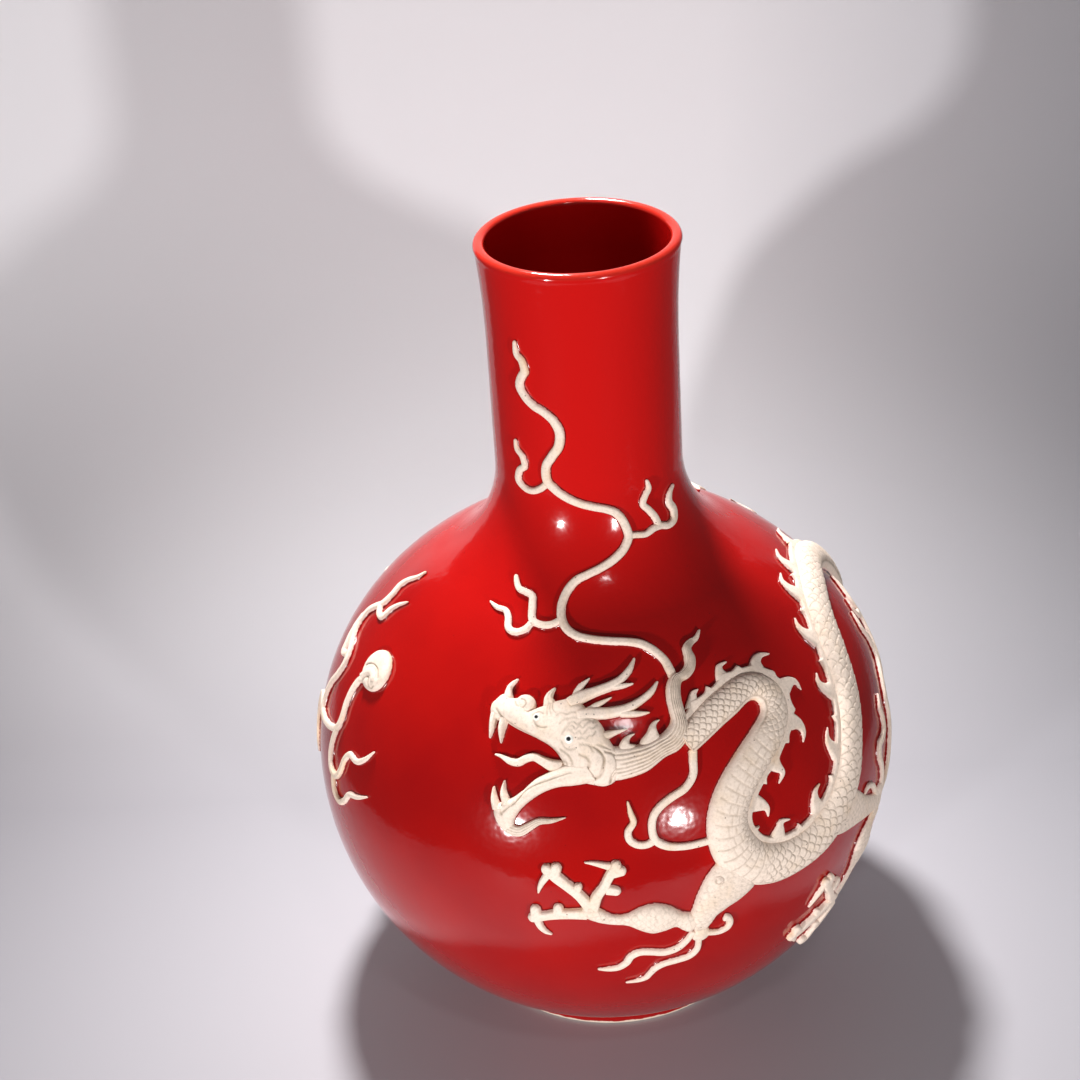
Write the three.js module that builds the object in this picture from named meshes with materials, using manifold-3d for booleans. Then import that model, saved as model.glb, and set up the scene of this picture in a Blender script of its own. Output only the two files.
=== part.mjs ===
// Large bottle vase: a round body, a tall straight neck and a moulded dragon applied round it.
// Millimetres, +Z up. The origin is the middle of the foot, on the ground.
// The dragon's head faces -X and is seen from -Y.

import * as THREE from "three";
import { mergeVertices } from "three/addons/utils/BufferGeometryUtils.js";
import Module from "manifold-3d";

const wasm = await Module();
wasm.setup();

// Vessel sizes
const TOTAL_HEIGHT = 422;
const GIRTH_HEIGHT = 139.5;
const GLOBE_RADIUS = 150;
const SHOULDER_RISE = 132;
const BOWL_FOOT_RADIUS = 74;
const NECK_RADIUS = 46.7;
const SHOULDER_FILLET = 60;
const LIP_RADIUS = 50;
const LIP_ROUND = 2.6;
const BOWL_WALL = 6.5;
const NECK_WALL = 5.2;
const FLOOR_THICKNESS = 9;
const SEAM = 0.3;

// Foot sizes
const FOOT_HEIGHT = 9;
const FOOT_RADIUS = 73;
const FOOT_WIDTH = 10;
const FOOT_BEVEL = 1.2;

// Relief sizes
const CLAY_BED = 0.4;
const PIECE_GAP = 0.35;
const TRUNK_WIDTH = 18.3;
const TRUNK_HEIGHT = 6.4;
const CREST_WIDTH = 3.2;
const CREST_HEIGHT = 1.9;
const SPIKE_WIDTH = 8.4;
const LEG_WIDTH = 17.3;
const LEG_HEIGHT = 5.2;
const TOE_WIDTH = 4.4;
const TOE_HEIGHT = 3;
const CLAW_WIDTH = 2.6;
const CLAW_HEIGHT = 2.2;
const FLAME_WIDTH = 4;
const FLAME_HEIGHT = 2;
const WISP_WIDTH = 4.3;
const WISP_HEIGHT = 2;
const MANE_HEIGHT = 5.4;
const HORN_WIDTH = 4.2;
const HORN_HEIGHT = 3.4;
const HEAD_HEIGHT = 6.8;
const JAW_HEIGHT = 4.6;
const TONGUE_WIDTH = 3.2;
const TONGUE_HEIGHT = 3;
const FANG_WIDTH = 3.4;
const NOSTRIL_RADIUS = 5.2;
const EYE_RADIUS = 2;
const PEARL_RADIUS = 10.8;
const PEARL_HEIGHT = 6.2;

// Map of the wall
// A place on the wall is an azimuth in degrees, 0 at -Y and growing towards +X, and a climb.
// The climb is 0 at the girth, LIP_ANGLE at the lip and minus FOOT_ANGLE at the foot joint.
const LIP_ANGLE = 123;
const FOOT_ANGLE = 60.5;
const GIRTH_JOINT_ANGLE = -4;
const NECK_JOINT_ANGLE = 68;
const TURN = 360;
const FACETS = 40;
const DEG = Math.PI / 180;

// Colours
const glaze = (colour) => new THREE.MeshStandardMaterial({ color: colour, roughness: 0.12, metalness: 0 });
const biscuit = () => new THREE.MeshStandardMaterial({ color: 0xe9dccb, roughness: 0.85, metalness: 0 });
const slip = () => new THREE.MeshStandardMaterial({ color: 0xf4f0e8, roughness: 0.4, metalness: 0 });

// Outer outline of the wall, from the foot joint up to the lip
const OUTLINE_STEPS = 240;

function tangentAngle() {
  // Where the fillet leaves the shoulder: its centre stands one fillet radius outside the neck.
  let low = 0;
  let high = Math.PI / 2;
  const reach = NECK_RADIUS + SHOULDER_FILLET;
  for (let i = 0; i < 60; i += 1) {
    const mid = (low + high) / 2;
    const across = Math.cos(mid) / GLOBE_RADIUS;
    const up = Math.sin(mid) / SHOULDER_RISE;
    const radius = GLOBE_RADIUS * Math.cos(mid) + (SHOULDER_FILLET * across) / Math.hypot(across, up);
    if (radius > reach) low = mid;
    else high = mid;
  }
  return (low + high) / 2;
}

function outerOutline() {
  const points = [];
  const footDrop = GIRTH_HEIGHT - FOOT_HEIGHT;
  const start = -Math.acos(BOWL_FOOT_RADIUS / GLOBE_RADIUS);
  const bowlDrop = -footDrop / Math.sin(start);
  const leave = tangentAngle();
  const fine = OUTLINE_STEPS;
  for (let i = 0; i <= fine; i += 1) {
    const angle = start + ((leave - start) * i) / fine;
    const drop = angle > 0 ? SHOULDER_RISE : bowlDrop;
    points.push([GLOBE_RADIUS * Math.cos(angle), GIRTH_HEIGHT + drop * Math.sin(angle)]);
  }
  const across = Math.cos(leave) / GLOBE_RADIUS;
  const up = Math.sin(leave) / SHOULDER_RISE;
  const length = Math.hypot(across, up);
  const centreRadius = NECK_RADIUS + SHOULDER_FILLET;
  const centreHeight = GIRTH_HEIGHT + SHOULDER_RISE * Math.sin(leave) + (SHOULDER_FILLET * up) / length;
  const first = Math.PI + Math.atan2(up, across);
  for (let i = 1; i <= fine; i += 1) {
    const angle = first + ((Math.PI - first) * i) / fine;
    const radius = centreRadius + SHOULDER_FILLET * Math.cos(angle);
    points.push([radius, centreHeight + SHOULDER_FILLET * Math.sin(angle)]);
  }
  const flareShare = 0.45;
  const flarePower = 2.6;
  for (let i = 1; i <= fine; i += 1) {
    const share = i / fine;
    const flare = Math.max(0, (share - flareShare) / (1 - flareShare)) ** flarePower;
    const height = centreHeight + (TOTAL_HEIGHT - centreHeight) * share;
    points.push([NECK_RADIUS + (LIP_RADIUS - NECK_RADIUS) * flare, height]);
  }
  return points;
}

const outline = outerOutline();
const run = [0];
for (let i = 1; i < outline.length; i += 1) {
  const step = Math.hypot(outline[i][0] - outline[i - 1][0], outline[i][1] - outline[i - 1][1]);
  run.push(run[i - 1] + step);
}
const wallRun = run[run.length - 1];
const girthIndex = outline.findIndex((point) => point[1] >= GIRTH_HEIGHT);
const girthRun = run[girthIndex];
const CLIMB_UP = (wallRun - girthRun) / LIP_ANGLE;
const CLIMB_DOWN = girthRun / FOOT_ANGLE;
const filletStart = run[OUTLINE_STEPS];
const filletEnd = run[OUTLINE_STEPS * 2];

function outlineAt(distance) {
  const place = Math.min(Math.max(distance, 0), wallRun);
  let low = 0;
  let high = run.length - 1;
  while (high - low > 1) {
    const mid = (low + high) >> 1;
    if (run[mid] <= place) low = mid;
    else high = mid;
  }
  const share = (place - run[low]) / (run[high] - run[low]);
  const radius = outline[low][0] + (outline[high][0] - outline[low][0]) * share;
  const height = outline[low][1] + (outline[high][1] - outline[low][1]) * share;
  const along = [outline[high][0] - outline[low][0], outline[high][1] - outline[low][1]];
  const length = Math.hypot(along[0], along[1]);
  return { radius, height, outR: along[1] / length, outZ: -along[0] / length };
}

const climbRun = (climb) => girthRun + climb * (climb > 0 ? CLIMB_UP : CLIMB_DOWN);
const climbScale = (climb) => (climb > 0 ? CLIMB_UP : CLIMB_DOWN);
const turnScale = (climb) => outlineAt(climbRun(climb)).radius * DEG;

function onWall(azimuth, climb, lift) {
  const at = outlineAt(climbRun(climb));
  const radius = at.radius + at.outR * lift;
  const angle = azimuth * DEG;
  return [radius * Math.sin(angle), -radius * Math.cos(angle), at.height + at.outZ * lift];
}

// Closed solids
function toSolid(positions, indices) {
  let volume = 0;
  for (let i = 0; i < indices.length; i += 3) {
    const [a, b, c] = [0, 1, 2].map((k) => positions.slice(indices[i + k] * 3, indices[i + k] * 3 + 3));
    volume += a[0] * (b[1] * c[2] - b[2] * c[1]);
    volume += a[1] * (b[2] * c[0] - b[0] * c[2]);
    volume += a[2] * (b[0] * c[1] - b[1] * c[0]);
  }
  const faces = [...indices];
  if (volume < 0) faces.reverse();
  const vertProperties = new Float32Array(positions);
  const triVerts = new Uint32Array(faces);
  return new wasm.Manifold(new wasm.Mesh({ numProp: 3, vertProperties, triVerts }));
}

function geometryOf(solid) {
  // The largest body of a solid, so that no loose crumb of a cut stays behind.
  const mesh = solid.getMesh();
  const count = mesh.vertProperties.length / mesh.numProp;
  const parent = Array.from({ length: count }, (_, i) => i);
  const find = (i) => {
    let at = i;
    while (parent[at] !== at) at = parent[at];
    return at;
  };
  for (let i = 0; i < mesh.triVerts.length; i += 3) {
    const root = find(mesh.triVerts[i]);
    parent[find(mesh.triVerts[i + 1])] = root;
    parent[find(mesh.triVerts[i + 2])] = root;
  }
  const groups = new Map();
  for (let i = 0; i < mesh.triVerts.length; i += 3) {
    const root = find(mesh.triVerts[i]);
    if (!groups.has(root)) groups.set(root, []);
    groups.get(root).push(...mesh.triVerts.slice(i, i + 3));
  }
  const faces = [...groups.values()].sort((a, b) => b.length - a.length)[0];
  const geometry = new THREE.BufferGeometry();
  const points = [];
  for (let i = 0; i < count; i += 1) {
    points.push(...mesh.vertProperties.slice(i * mesh.numProp, i * mesh.numProp + 3));
  }
  geometry.setAttribute("position", new THREE.Float32BufferAttribute(points, 3));
  geometry.setIndex(faces);
  const flat = geometry.toNonIndexed();
  flat.computeVertexNormals();
  return flat;
}

function loft(rings) {
  // Rings of equal count, joined one after another and closed with a fan at both ends.
  const sides = rings[0].length;
  const positions = rings.flat(2);
  const indices = [];
  for (let i = 0; i + 1 < rings.length; i += 1) {
    for (let k = 0; k < sides; k += 1) {
      const a = i * sides + k;
      const b = i * sides + ((k + 1) % sides);
      indices.push(a, b, b + sides, a, b + sides, a + sides);
    }
  }
  const last = (rings.length - 1) * sides;
  for (let k = 1; k + 1 < sides; k += 1) {
    indices.push(0, k + 1, k);
    indices.push(last, last + k, last + k + 1);
  }
  return toSolid(positions, indices);
}

function join(solids) {
  return solids.reduce((whole, solid) => whole.add(solid));
}

function cut(solid, cutters) {
  return cutters.reduce((left, cutter) => left.subtract(cutter), solid);
}

// Cross-sections of the relief, as shares of half the width and of the height
const wispSection = { topShares: [[-0.6, 1], [0.6, 1]], bedShares: [] };
const roundSection = {
  topShares: [[-0.9, 0.56], [-0.5, 0.92], [0, 1], [0.5, 0.92], [0.9, 0.56]],
  bedShares: [0],
};
const lowSection = { topShares: [[-0.82, 0.7], [0, 1], [0.82, 0.7]], bedShares: [0] };

// Relief strips laid along a route on the wall
// A route is a list of rows: azimuth, climb, and the strip's width as a share of its named width.
function sampled(route, count) {
  const curve = new THREE.CatmullRomCurve3(route.map((row) => new THREE.Vector3(...row)), false, "centripetal");
  return Array.from({ length: count + 1 }, (_, i) => curve.getPoint(i / count).toArray());
}

function measured(rows) {
  // The rows with the distance along the wall added to each.
  let distance = 0;
  return rows.map((row, i) => {
    if (i > 0) {
      const back = rows[i - 1];
      const mid = (row[1] + back[1]) / 2;
      distance += Math.hypot((row[0] - back[0]) * turnScale(mid), (row[1] - back[1]) * climbScale(mid));
    }
    return [...row, distance];
  });
}

function spaced(route, count) {
  // The route again in equal steps of real length.
  const fine = measured(sampled(route, route.length * 12));
  const total = fine[fine.length - 1][3];
  return Array.from({ length: count + 1 }, (_, i) => placeAt(fine, (total * i) / count));
}

function placeAt(fine, distance) {
  const next = Math.max(1, fine.findIndex((row) => row[3] >= distance - 1e-9));
  const a = fine[next - 1];
  const b = fine[next];
  const share = (distance - a[3]) / (b[3] - a[3]);
  return [0, 1, 2].map((k) => a[k] + (b[k] - a[k]) * share);
}

function heading(rows, i) {
  // Rows that know their own direction keep it, so that two stretches meet in one plane.
  if (rows[i].length > 4) return rows[i].slice(3, 5);
  const a = rows[Math.max(0, i - 1)];
  const b = rows[Math.min(rows.length - 1, i + 1)];
  const east = (b[0] - a[0]) * turnScale(rows[i][1]);
  const north = (b[1] - a[1]) * climbScale(rows[i][1]);
  const length = Math.hypot(east, north);
  return [east / length, north / length];
}

function shifted(row, east, north) {
  return [row[0] + east / turnScale(row[1]), row[1] + north / climbScale(row[1])];
}

function strip(rows, width, height, section, grow = 0, taper = 0.35) {
  const rings = rows.map((row, i) => {
    const [east, north] = heading(rows, i);
    const half = (row[2] * width) / 2 + grow;
    const rise = height * (taper + (1 - taper) * Math.min(1, row[2])) + grow;
    const across = (share, lift) => {
      const [azimuth, climb] = shifted(row, north * half * share, -east * half * share);
      return onWall(azimuth, climb, lift);
    };
    const tops = section.topShares.map(([share, up]) => across(share, CLAY_BED + rise * up));
    const low = CLAY_BED - grow;
    const beds = [1, ...section.bedShares, -1].map((share) => across(share, low));
    return [...tops, ...beds];
  });
  return loft(rings);
}

function stretched(rows, grow) {
  // A grown copy also runs on a little past both ends.
  if (grow === 0) return rows;
  const [first, second] = [rows[0], rows[1]];
  const headingIn = heading(rows, 0);
  const headingOut = heading(rows, rows.length - 1);
  const start = [...shifted(first, -headingIn[0] * grow, -headingIn[1] * grow), ...first.slice(2)];
  const last = rows[rows.length - 1];
  const end = [...shifted(last, headingOut[0] * grow, headingOut[1] * grow), ...last.slice(2)];
  return [start, ...rows.slice(1, -1).length ? rows.slice(1, -1) : [second], end];
}

function ribbon(route, count, width, height, section = wispSection, grow = 0) {
  return strip(stretched(spaced(route, count), grow), width, height, section, grow);
}

// Bosses: a low dome standing on the wall
const roundLevelShares = [[1, 0], [0.94, 0.4], [0.7, 0.76], [0.32, 0.97]];
const padLevelShares = [[1, 0], [0.75, 0.9]];

function dome(azimuth, climb, radius, height, grow = 0, sides = 10, levels = roundLevelShares) {
  const rings = levels.map(([reach, up]) => Array.from({ length: sides }, (_, k) => {
    const angle = (k / sides) * TURN * DEG;
    const out = (radius + grow) * reach;
    const spot = shifted([azimuth, climb], out * Math.cos(angle), out * Math.sin(angle));
    const lift = up === 0 ? CLAY_BED - grow : CLAY_BED + (height + grow) * up;
    return onWall(...spot, lift);
  }));
  return loft(rings);
}

// Strips given by their two edges: upper azimuth and climb, lower azimuth and climb, share of the height
function span(rows, height, grow = 0) {
  const acrossShares = [0.05, 0.26, 0.5, 0.74, 0.95];
  const upShares = [0.62, 0.93, 1, 0.93, 0.62];
  const bedShares = [1, 0.66, 0.34, 0];
  const middle = rows.map((row) => [(row[0] + row[2]) / 2, (row[1] + row[3]) / 2, 1]);
  const rings = rows.map((row, i) => {
    const east = (row[2] - row[0]) * turnScale(middle[i][1]);
    const north = (row[3] - row[1]) * climbScale(middle[i][1]);
    const wide = Math.hypot(east, north);
    const over = grow / wide;
    const ahead = heading(middle, i);
    const push = i === 0 ? -grow : i === rows.length - 1 ? grow : 0;
    const spot = (share, lift) => {
      const reach = share + (share * 2 - 1) * over;
      const place = [row[0] + (row[2] - row[0]) * reach, row[1] + (row[3] - row[1]) * reach];
      return onWall(...shifted(place, ahead[0] * push, ahead[1] * push), lift);
    };
    const tops = acrossShares.map((share, k) => spot(share, CLAY_BED + (height * row[4] + grow) * upShares[k]));
    return [...tops, ...bedShares.map((share) => spot(share, CLAY_BED - grow))];
  });
  return loft(rings);
}

// Dragon's trunk, from behind the head to the tail tip: azimuth, climb, share of the trunk's width
const trunkShares = [
  [18.2, 30.6, 0.78], [22, 32, 0.8], [26, 33.6, 0.83], [30, 34.8, 0.82], [34.2, 35.5, 0.8],
  [38.2, 35.2, 0.86], [41.3, 33.6, 0.98], [42.4, 31, 1.03], [41.2, 28.2, 1.03], [38.6, 26.6, 1],
  [35.2, 25.2, 0.98], [30, 22.2, 1], [25.2, 18.2, 1.08], [22.8, 14.2, 1.16], [22.4, 10.4, 1.2],
  [23.6, 6.6, 1.26], [26.8, 3, 1.34], [31.8, 1.4, 1.28], [37, 1.2, 1.26], [42.4, 2.4, 1.2],
  [48.6, 5.6, 1.1], [53.8, 9.8, 1.08], [58, 14.9, 1.03], [62.2, 22.4, 1], [66.4, 29.3, 1],
  [71.8, 34.9, 1], [78, 37.8, 1], [85, 39.1, 1], [92.5, 39.4, 1],
  [99.5, 37.6, 1], [106, 33.6, 1], [111.2, 27.6, 1.02], [115, 20.4, 1.06], [119.2, 12.9, 1.1],
  [125.2, 6.7, 1.12], [133, 3.4, 1.1], [141.2, 3.9, 1.05], [148.2, 8.6, 1], [153.6, 15.6, 0.96],
  [159, 23, 0.93], [166, 29.4, 0.9], [174.6, 32, 0.88], [182.8, 28.8, 0.85], [188, 21.6, 0.83],
  [192.2, 13.6, 0.83], [198.2, 6.8, 0.84], [205.4, 3.8, 0.82], [211.6, 6.2, 0.74], [216.2, 11.2, 0.66],
  [220, 16.6, 0.58], [224.6, 20.8, 0.48], [230, 22.6, 0.38], [235.4, 21.6, 0.26],
];
const FINE = 12;
const trunkFine = measured(sampled(trunkShares, (trunkShares.length - 1) * FINE));
const trunkStretches = [
  { name: "neck_stretch", from: 0, to: 11, steps: 13 },
  { name: "loop_stretch", from: 11, to: 18, steps: 9 },
  { name: "rising_stretch", from: 18, to: 28, steps: 12 },
  { name: "falling_stretch", from: 28, to: 36, steps: 12 },
  { name: "back_stretch", from: 36, to: 45, steps: 15 },
  { name: "tail_stretch", from: 45, to: 52, steps: 11 },
];

function trunkRows({ from, to, steps }) {
  const start = trunkFine[from * FINE][3] + PIECE_GAP / 2;
  const end = trunkFine[to * FINE][3] - PIECE_GAP / 2;
  return Array.from({ length: steps + 1 }, (_, i) => trunkPlace(start + ((end - start) * i) / steps));
}

function trunkPlace(distance) {
  // A place on the trunk's middle line with the direction of the trunk there.
  const total = trunkFine[trunkFine.length - 1][3];
  const near = [distance - TRUNK_WIDTH / 4, distance + TRUNK_WIDTH / 4];
  const ends = near.map((place) => placeAt(trunkFine, Math.min(Math.max(place, 0), total)));
  return [...placeAt(trunkFine, distance), ...heading(ends, 0)];
}

function trunkSolid(stretch, grow = 0) {
  return strip(stretched(trunkRows(stretch), grow), TRUNK_WIDTH, TRUNK_HEIGHT, roundSection, grow);
}

// Curled spikes of the crest seen in the front: root, two bends and tip, as azimuth and climb
const spikeShares = [
  [22, 35.2, 22.1, 36.6, 22.9, 37.8, 24.4, 38.3], [31.8, 38.2, 31.7, 39.7, 32.4, 40.9, 35, 41.2],
  [42, 37.6, 42.9, 38.8, 45, 39.3, 47.9, 38.6], [46.3, 32.1, 48.3, 32.2, 49.8, 31.6, 50.1, 29.7],
  [43.4, 25.8, 45, 24.7, 45.3, 23, 44.2, 21.4], [35.2, 20.9, 36.2, 19.7, 36.1, 18.3, 34.6, 16.8],
  [29.2, 15, 30.8, 14.2, 31.6, 13.2, 31.5, 11.7], [32.8, 6.9, 33.6, 8.6, 35, 9.6, 37, 9.3],
  [43, 8.4, 43.1, 10.2, 43.6, 11.7, 45.2, 12.6], [52.2, 15.8, 51, 17.8, 51, 19.3, 52.2, 20.9],
  [58.2, 25.4, 56.8, 27, 56.2, 28.7, 57.3, 30.2], [63.8, 34.6, 62.8, 36.6, 62.8, 38.2, 64.2, 39.7],
  [73.4, 41.5, 73.3, 43.6, 74.2, 45.2, 77.6, 46.1], [84.6, 43.6, 85.2, 45.4, 86.6, 46.7, 90.6, 47.2],
];
const spikeWidthShares = [1, 0.56, 0.3, 0.06];
// The same curl in the trunk's own directions for the spikes round the back, as shares of the trunk's width
const curlShares = [[0, 0.62], [0.12, 0.86], [0.34, 1.06], [0.82, 1.12]];
const BACK_SPIKE_PITCH = 35;
const CREST_ROOT_SHARE = 0.35;

function nearestOnTrunk(azimuth, climb) {
  const apart = (row) => Math.hypot((row[0] - azimuth) * turnScale(climb), (row[1] - climb) * climbScale(climb));
  return trunkFine.reduce((best, row) => (apart(row) < apart(best) ? row : best));
}

function backSpikes() {
  const found = [];
  const start = trunkFine[28 * FINE][3] + BACK_SPIKE_PITCH * 0.4;
  const end = trunkFine[51 * FINE][3];
  for (let distance = start; distance < end; distance += BACK_SPIKE_PITCH) {
    const near = trunkPlace(distance);
    const [east, north] = heading([near], 0);
    const size = TRUNK_WIDTH * Math.min(1, near[2] * 1.1);
    const edge = (TRUNK_WIDTH * near[2]) / 2 - size * 0.5;
    found.push(curlShares.flatMap(([ahead, aside]) => {
      const side = edge + aside * size;
      return shifted(near, east * ahead * size - north * side, north * ahead * size + east * side);
    }));
  }
  return found;
}

const allSpikes = [...spikeShares, ...backSpikes()];

function spikeRoute(spike) {
  const [azimuth, climb] = spike;
  const trunk = trunkPlace(nearestOnTrunk(azimuth, climb)[3]);
  const [east, north] = heading([trunk], 0);
  const aside = (trunk[2] * TRUNK_WIDTH) / 2 + CREST_WIDTH * CREST_ROOT_SHARE + PIECE_GAP;
  const root = [...shifted(trunk, -north * aside, east * aside), spikeWidthShares[0]];
  return [root, ...spikeWidthShares.slice(1).map((share, k) => [spike[k * 2 + 2], spike[k * 2 + 3], share])];
}

function crestBand(stretch, grow) {
  const rows = trunkRows(stretch);
  const band = rows.map((row, i) => {
    const [east, north] = heading(rows, i);
    const aside = (row[2] * TRUNK_WIDTH) / 2 + CREST_WIDTH / 2 + PIECE_GAP * 1.4;
    return [...shifted(row, -north * aside, east * aside), 1, east, north];
  });
  return strip(stretched(band, grow), CREST_WIDTH, CREST_HEIGHT, wispSection, grow);
}

function crestSpikes(stretch, grow) {
  const low = trunkFine[stretch.from * FINE][3];
  const high = trunkFine[stretch.to * FINE][3];
  const mine = allSpikes.filter((spike) => {
    const distance = nearestOnTrunk(spike[0], spike[1])[3];
    return distance > low && distance <= high;
  });
  return mine.map((spike) => ribbon(spikeRoute(spike), 3, SPIKE_WIDTH, CREST_HEIGHT, wispSection, grow));
}

function crestSolid(stretch, grow = 0) {
  return join([crestBand(stretch, grow), ...crestSpikes(stretch, grow)]);
}

// Legs, drawn once round the elbow of the foreleg in front: azimuth, climb, width share
const ELBOW = [16, -7];
const forearmShares = [
  [15.4, -6.8, 0.66], [13.6, -5.6, 0.6], [12, -4.7, 0.52], [9.8, -4, 0.84], [7.4, -3.6, 1], [5, -3.3, 0.78],
  [2.5, -3.2, 0.38], [0, -3, 0.32], [-2.3, -2.1, 0.42], [-4.2, -0.8, 0.5], [-5, 0.5, 0.4],
];
const toeShares = [
  [[-3.6, -0.6, 1.3], [-5.8, 2.6, 1], [-7.8, 4.6, 1], [-9.6, 6.2, 1.1], [-11.2, 7.6, 0.9]],
  [[-3.8, -0.6, 1.3], [-2.6, 2.5, 1], [-1.2, 4.5, 0.9], [-0.3, 6.2, 0.9], [0.8, 7.9, 1.1]],
  [[-4.5, -1.4, 1.2], [-7.5, -1.5, 1], [-10, -1.7, 1], [-12.3, -2.3, 0.9], [-14.3, -2.7, 1.2]],
];
const clawShares = [
  [[-10.8, 7.2, 1.2], [-12.2, 5.4, 1], [-13, 3.9, 0.7], [-13.4, 2.5, 0.2]],
  [[0.5, 8.3, 1.2], [-1.3, 8.8, 0.9], [-3, 9.2, 0.6], [-4.4, 9.3, 0.2]],
  [[-14, -3.2, 1.2], [-13.4, -5, 1], [-12.4, -6.3, 0.7], [-11.2, -7, 0.2]],
];
const toePadShares = [
  [[-6.6, 3.4, 1], [-5.5, 5.1, 0.7]], [[-10.2, 6.6, 1.2], [-9.2, 9.1, 0.9]], [[-10.8, 7.2, 1.1], [-12, 8.5, 0.9]],
  [[-1, 3.9, 1], [1.7, 3.2, 0.8]], [[0.2, 7.2, 1.1], [3, 7.6, 0.9]], [[0.6, 7.4, 1.1], [1.7, 9.5, 0.9]],
  [[-9.9, -1.4, 1.1], [-9.8, 0.6, 0.8]], [[-14, -2.4, 1.1], [-14.2, -0.1, 0.9]], [[-13.6, -2.7, 1.1], [-15.6, -3.2, 0.8]],
];
const elbowFlameShares = [
  [[15, -8.6, 0.8], [13.7, -10.8, 0.85], [12, -12.4, 0.95], [9.5, -13, 1], [7.2, -12.4, 1], [5, -12.1, 1],
    [3.4, -13, 1], [2.6, -14.8, 0.95], [1.2, -16.2, 0.85], [-0.6, -16.6, 0.7], [-2.7, -16.6, 0.25]],
  [[16.1, -8.8, 0.8], [16.1, -11.5, 0.8], [15.8, -14, 0.85], [14.5, -15.5, 0.9], [12, -16.1, 0.9],
    [9.8, -16.5, 0.9], [8.2, -17.5, 0.9], [7.3, -19, 0.8], [6.6, -20.4, 0.75], [5.2, -21.2, 0.6],
    [2.8, -21.7, 0.2]],
  [[16.2, -9.4, 0.8], [18.2, -10.1, 0.8], [20.2, -10.5, 0.8], [21.8, -9.9, 0.8], [22.1, -8.4, 0.75],
    [21.5, -7.2, 0.6], [20.5, -6.6, 0.25]],
];
const flameRoot = [16.4, -9.9];
const FLAME_ROOT_SHARE = 1.2;
// The far foreleg's elbow flames lick upwards, so they have routes of their own.
const farFlameRoot = [66.9, -2.6];
const farElbowFlameShares = [
  [[66.4, -2.6, 0.8], [66, -0.6, 0.85], [64.8, 1.8, 0.85], [62.8, 2.7, 0.7], [60.9, 2, 0.25]],
  [[67, -3, 0.8], [68.6, -0.4, 0.85], [68.6, 2.4, 0.95], [67.7, 4.8, 1], [68.6, 7, 1], [71.2, 7.2, 1],
    [73.4, 8, 1], [74.2, 10, 0.85], [74.2, 12, 0.7], [76.3, 14.2, 0.25]],
  [[67.4, -3, 0.8], [73, -1.4, 0.85], [77.5, 2.4, 0.95], [80.5, 6, 1], [81, 9.8, 1], [84, 13.2, 1],
    [88, 15.4, 0.95], [89.6, 19, 0.85], [88.6, 22.6, 0.7], [90.6, 26, 0.25]],
];
const legs = [
  { name: "near_foreleg", elbow: ELBOW, turn: 0, side: 1,
    thighShares: [[24.5, 0.5, 1.05], [21.5, -0.2, 1.1], [18.6, -1.6, 0.95], [17, -3.8, 0.75], [16, -6.2, 0.68],
      [15.8, -8.6, 0.35]] },
  { name: "far_foreleg", elbow: [66.5, -4], turn: 65, side: 1,
    thighShares: [[52.5, 0.8, 1.1], [57, -0.7, 0.98], [60.5, -2, 0.74], [63.5, -3, 0.62], [66.3, -4, 0.68],
      [67.8, -4.7, 0.4]] },
  { name: "near_hind_leg", elbow: [139, -9], turn: 30, side: 1,
    thighShares: [[131, 2.5, 1.1], [133.5, -1, 1.05], [136.5, -4, 0.85], [138.6, -7, 0.7], [139.4, -10, 0.4]] },
  { name: "far_hind_leg", elbow: [213, -8], turn: -30, side: -1,
    thighShares: [[205, 2.6, 1], [207.4, -1.4, 0.95], [210.4, -4.4, 0.78], [212.4, -6.8, 0.68], [213, -9.2, 0.4]] },
];

function posed(leg, row) {
  const angle = leg.turn * DEG;
  const east = (row[0] - ELBOW[0]) * leg.side;
  const north = row[1] - ELBOW[1];
  const climb = leg.elbow[1] + east * Math.sin(angle) + north * Math.cos(angle);
  const reach = (east * Math.cos(angle) - north * Math.sin(angle)) * turnScale(0);
  return [leg.elbow[0] + reach / turnScale(climb), climb, ...row.slice(2)];
}

function legSolid(leg, grow = 0) {
  const pose = (route) => route.map((row) => posed(leg, row));
  return join([
    ribbon(leg.thighShares, 5, LEG_WIDTH, LEG_HEIGHT, lowSection, grow),
    ribbon(pose(forearmShares), 9, LEG_WIDTH, LEG_HEIGHT, lowSection, grow),
    ...toeShares.map((toe) => ribbon(pose(toe), 2, TOE_WIDTH, TOE_HEIGHT, wispSection, grow)),
    ...clawShares.map((claw) => ribbon(pose(claw), 3, CLAW_WIDTH, CLAW_HEIGHT, wispSection, grow)),
    ...toePadShares.map((pad) => ribbon(pose(pad), 1, TOE_WIDTH, TOE_HEIGHT, wispSection, grow)),
  ]);
}

function elbowFlames(leg) {
  const own = leg.name === "far_foreleg";
  const routes = own ? farElbowFlameShares : elbowFlameShares.map((route) => route.map((row) => posed(leg, row)));
  const root = own ? farFlameRoot : posed(leg, flameRoot);
  const flames = routes.map((route) => ribbon(route, Math.round(route.length * 0.9), FLAME_WIDTH, FLAME_HEIGHT));
  return join([...flames, dome(...root, FLAME_WIDTH * FLAME_ROOT_SHARE, FLAME_HEIGHT, 0, 7, padLevelShares)]);
}

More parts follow.
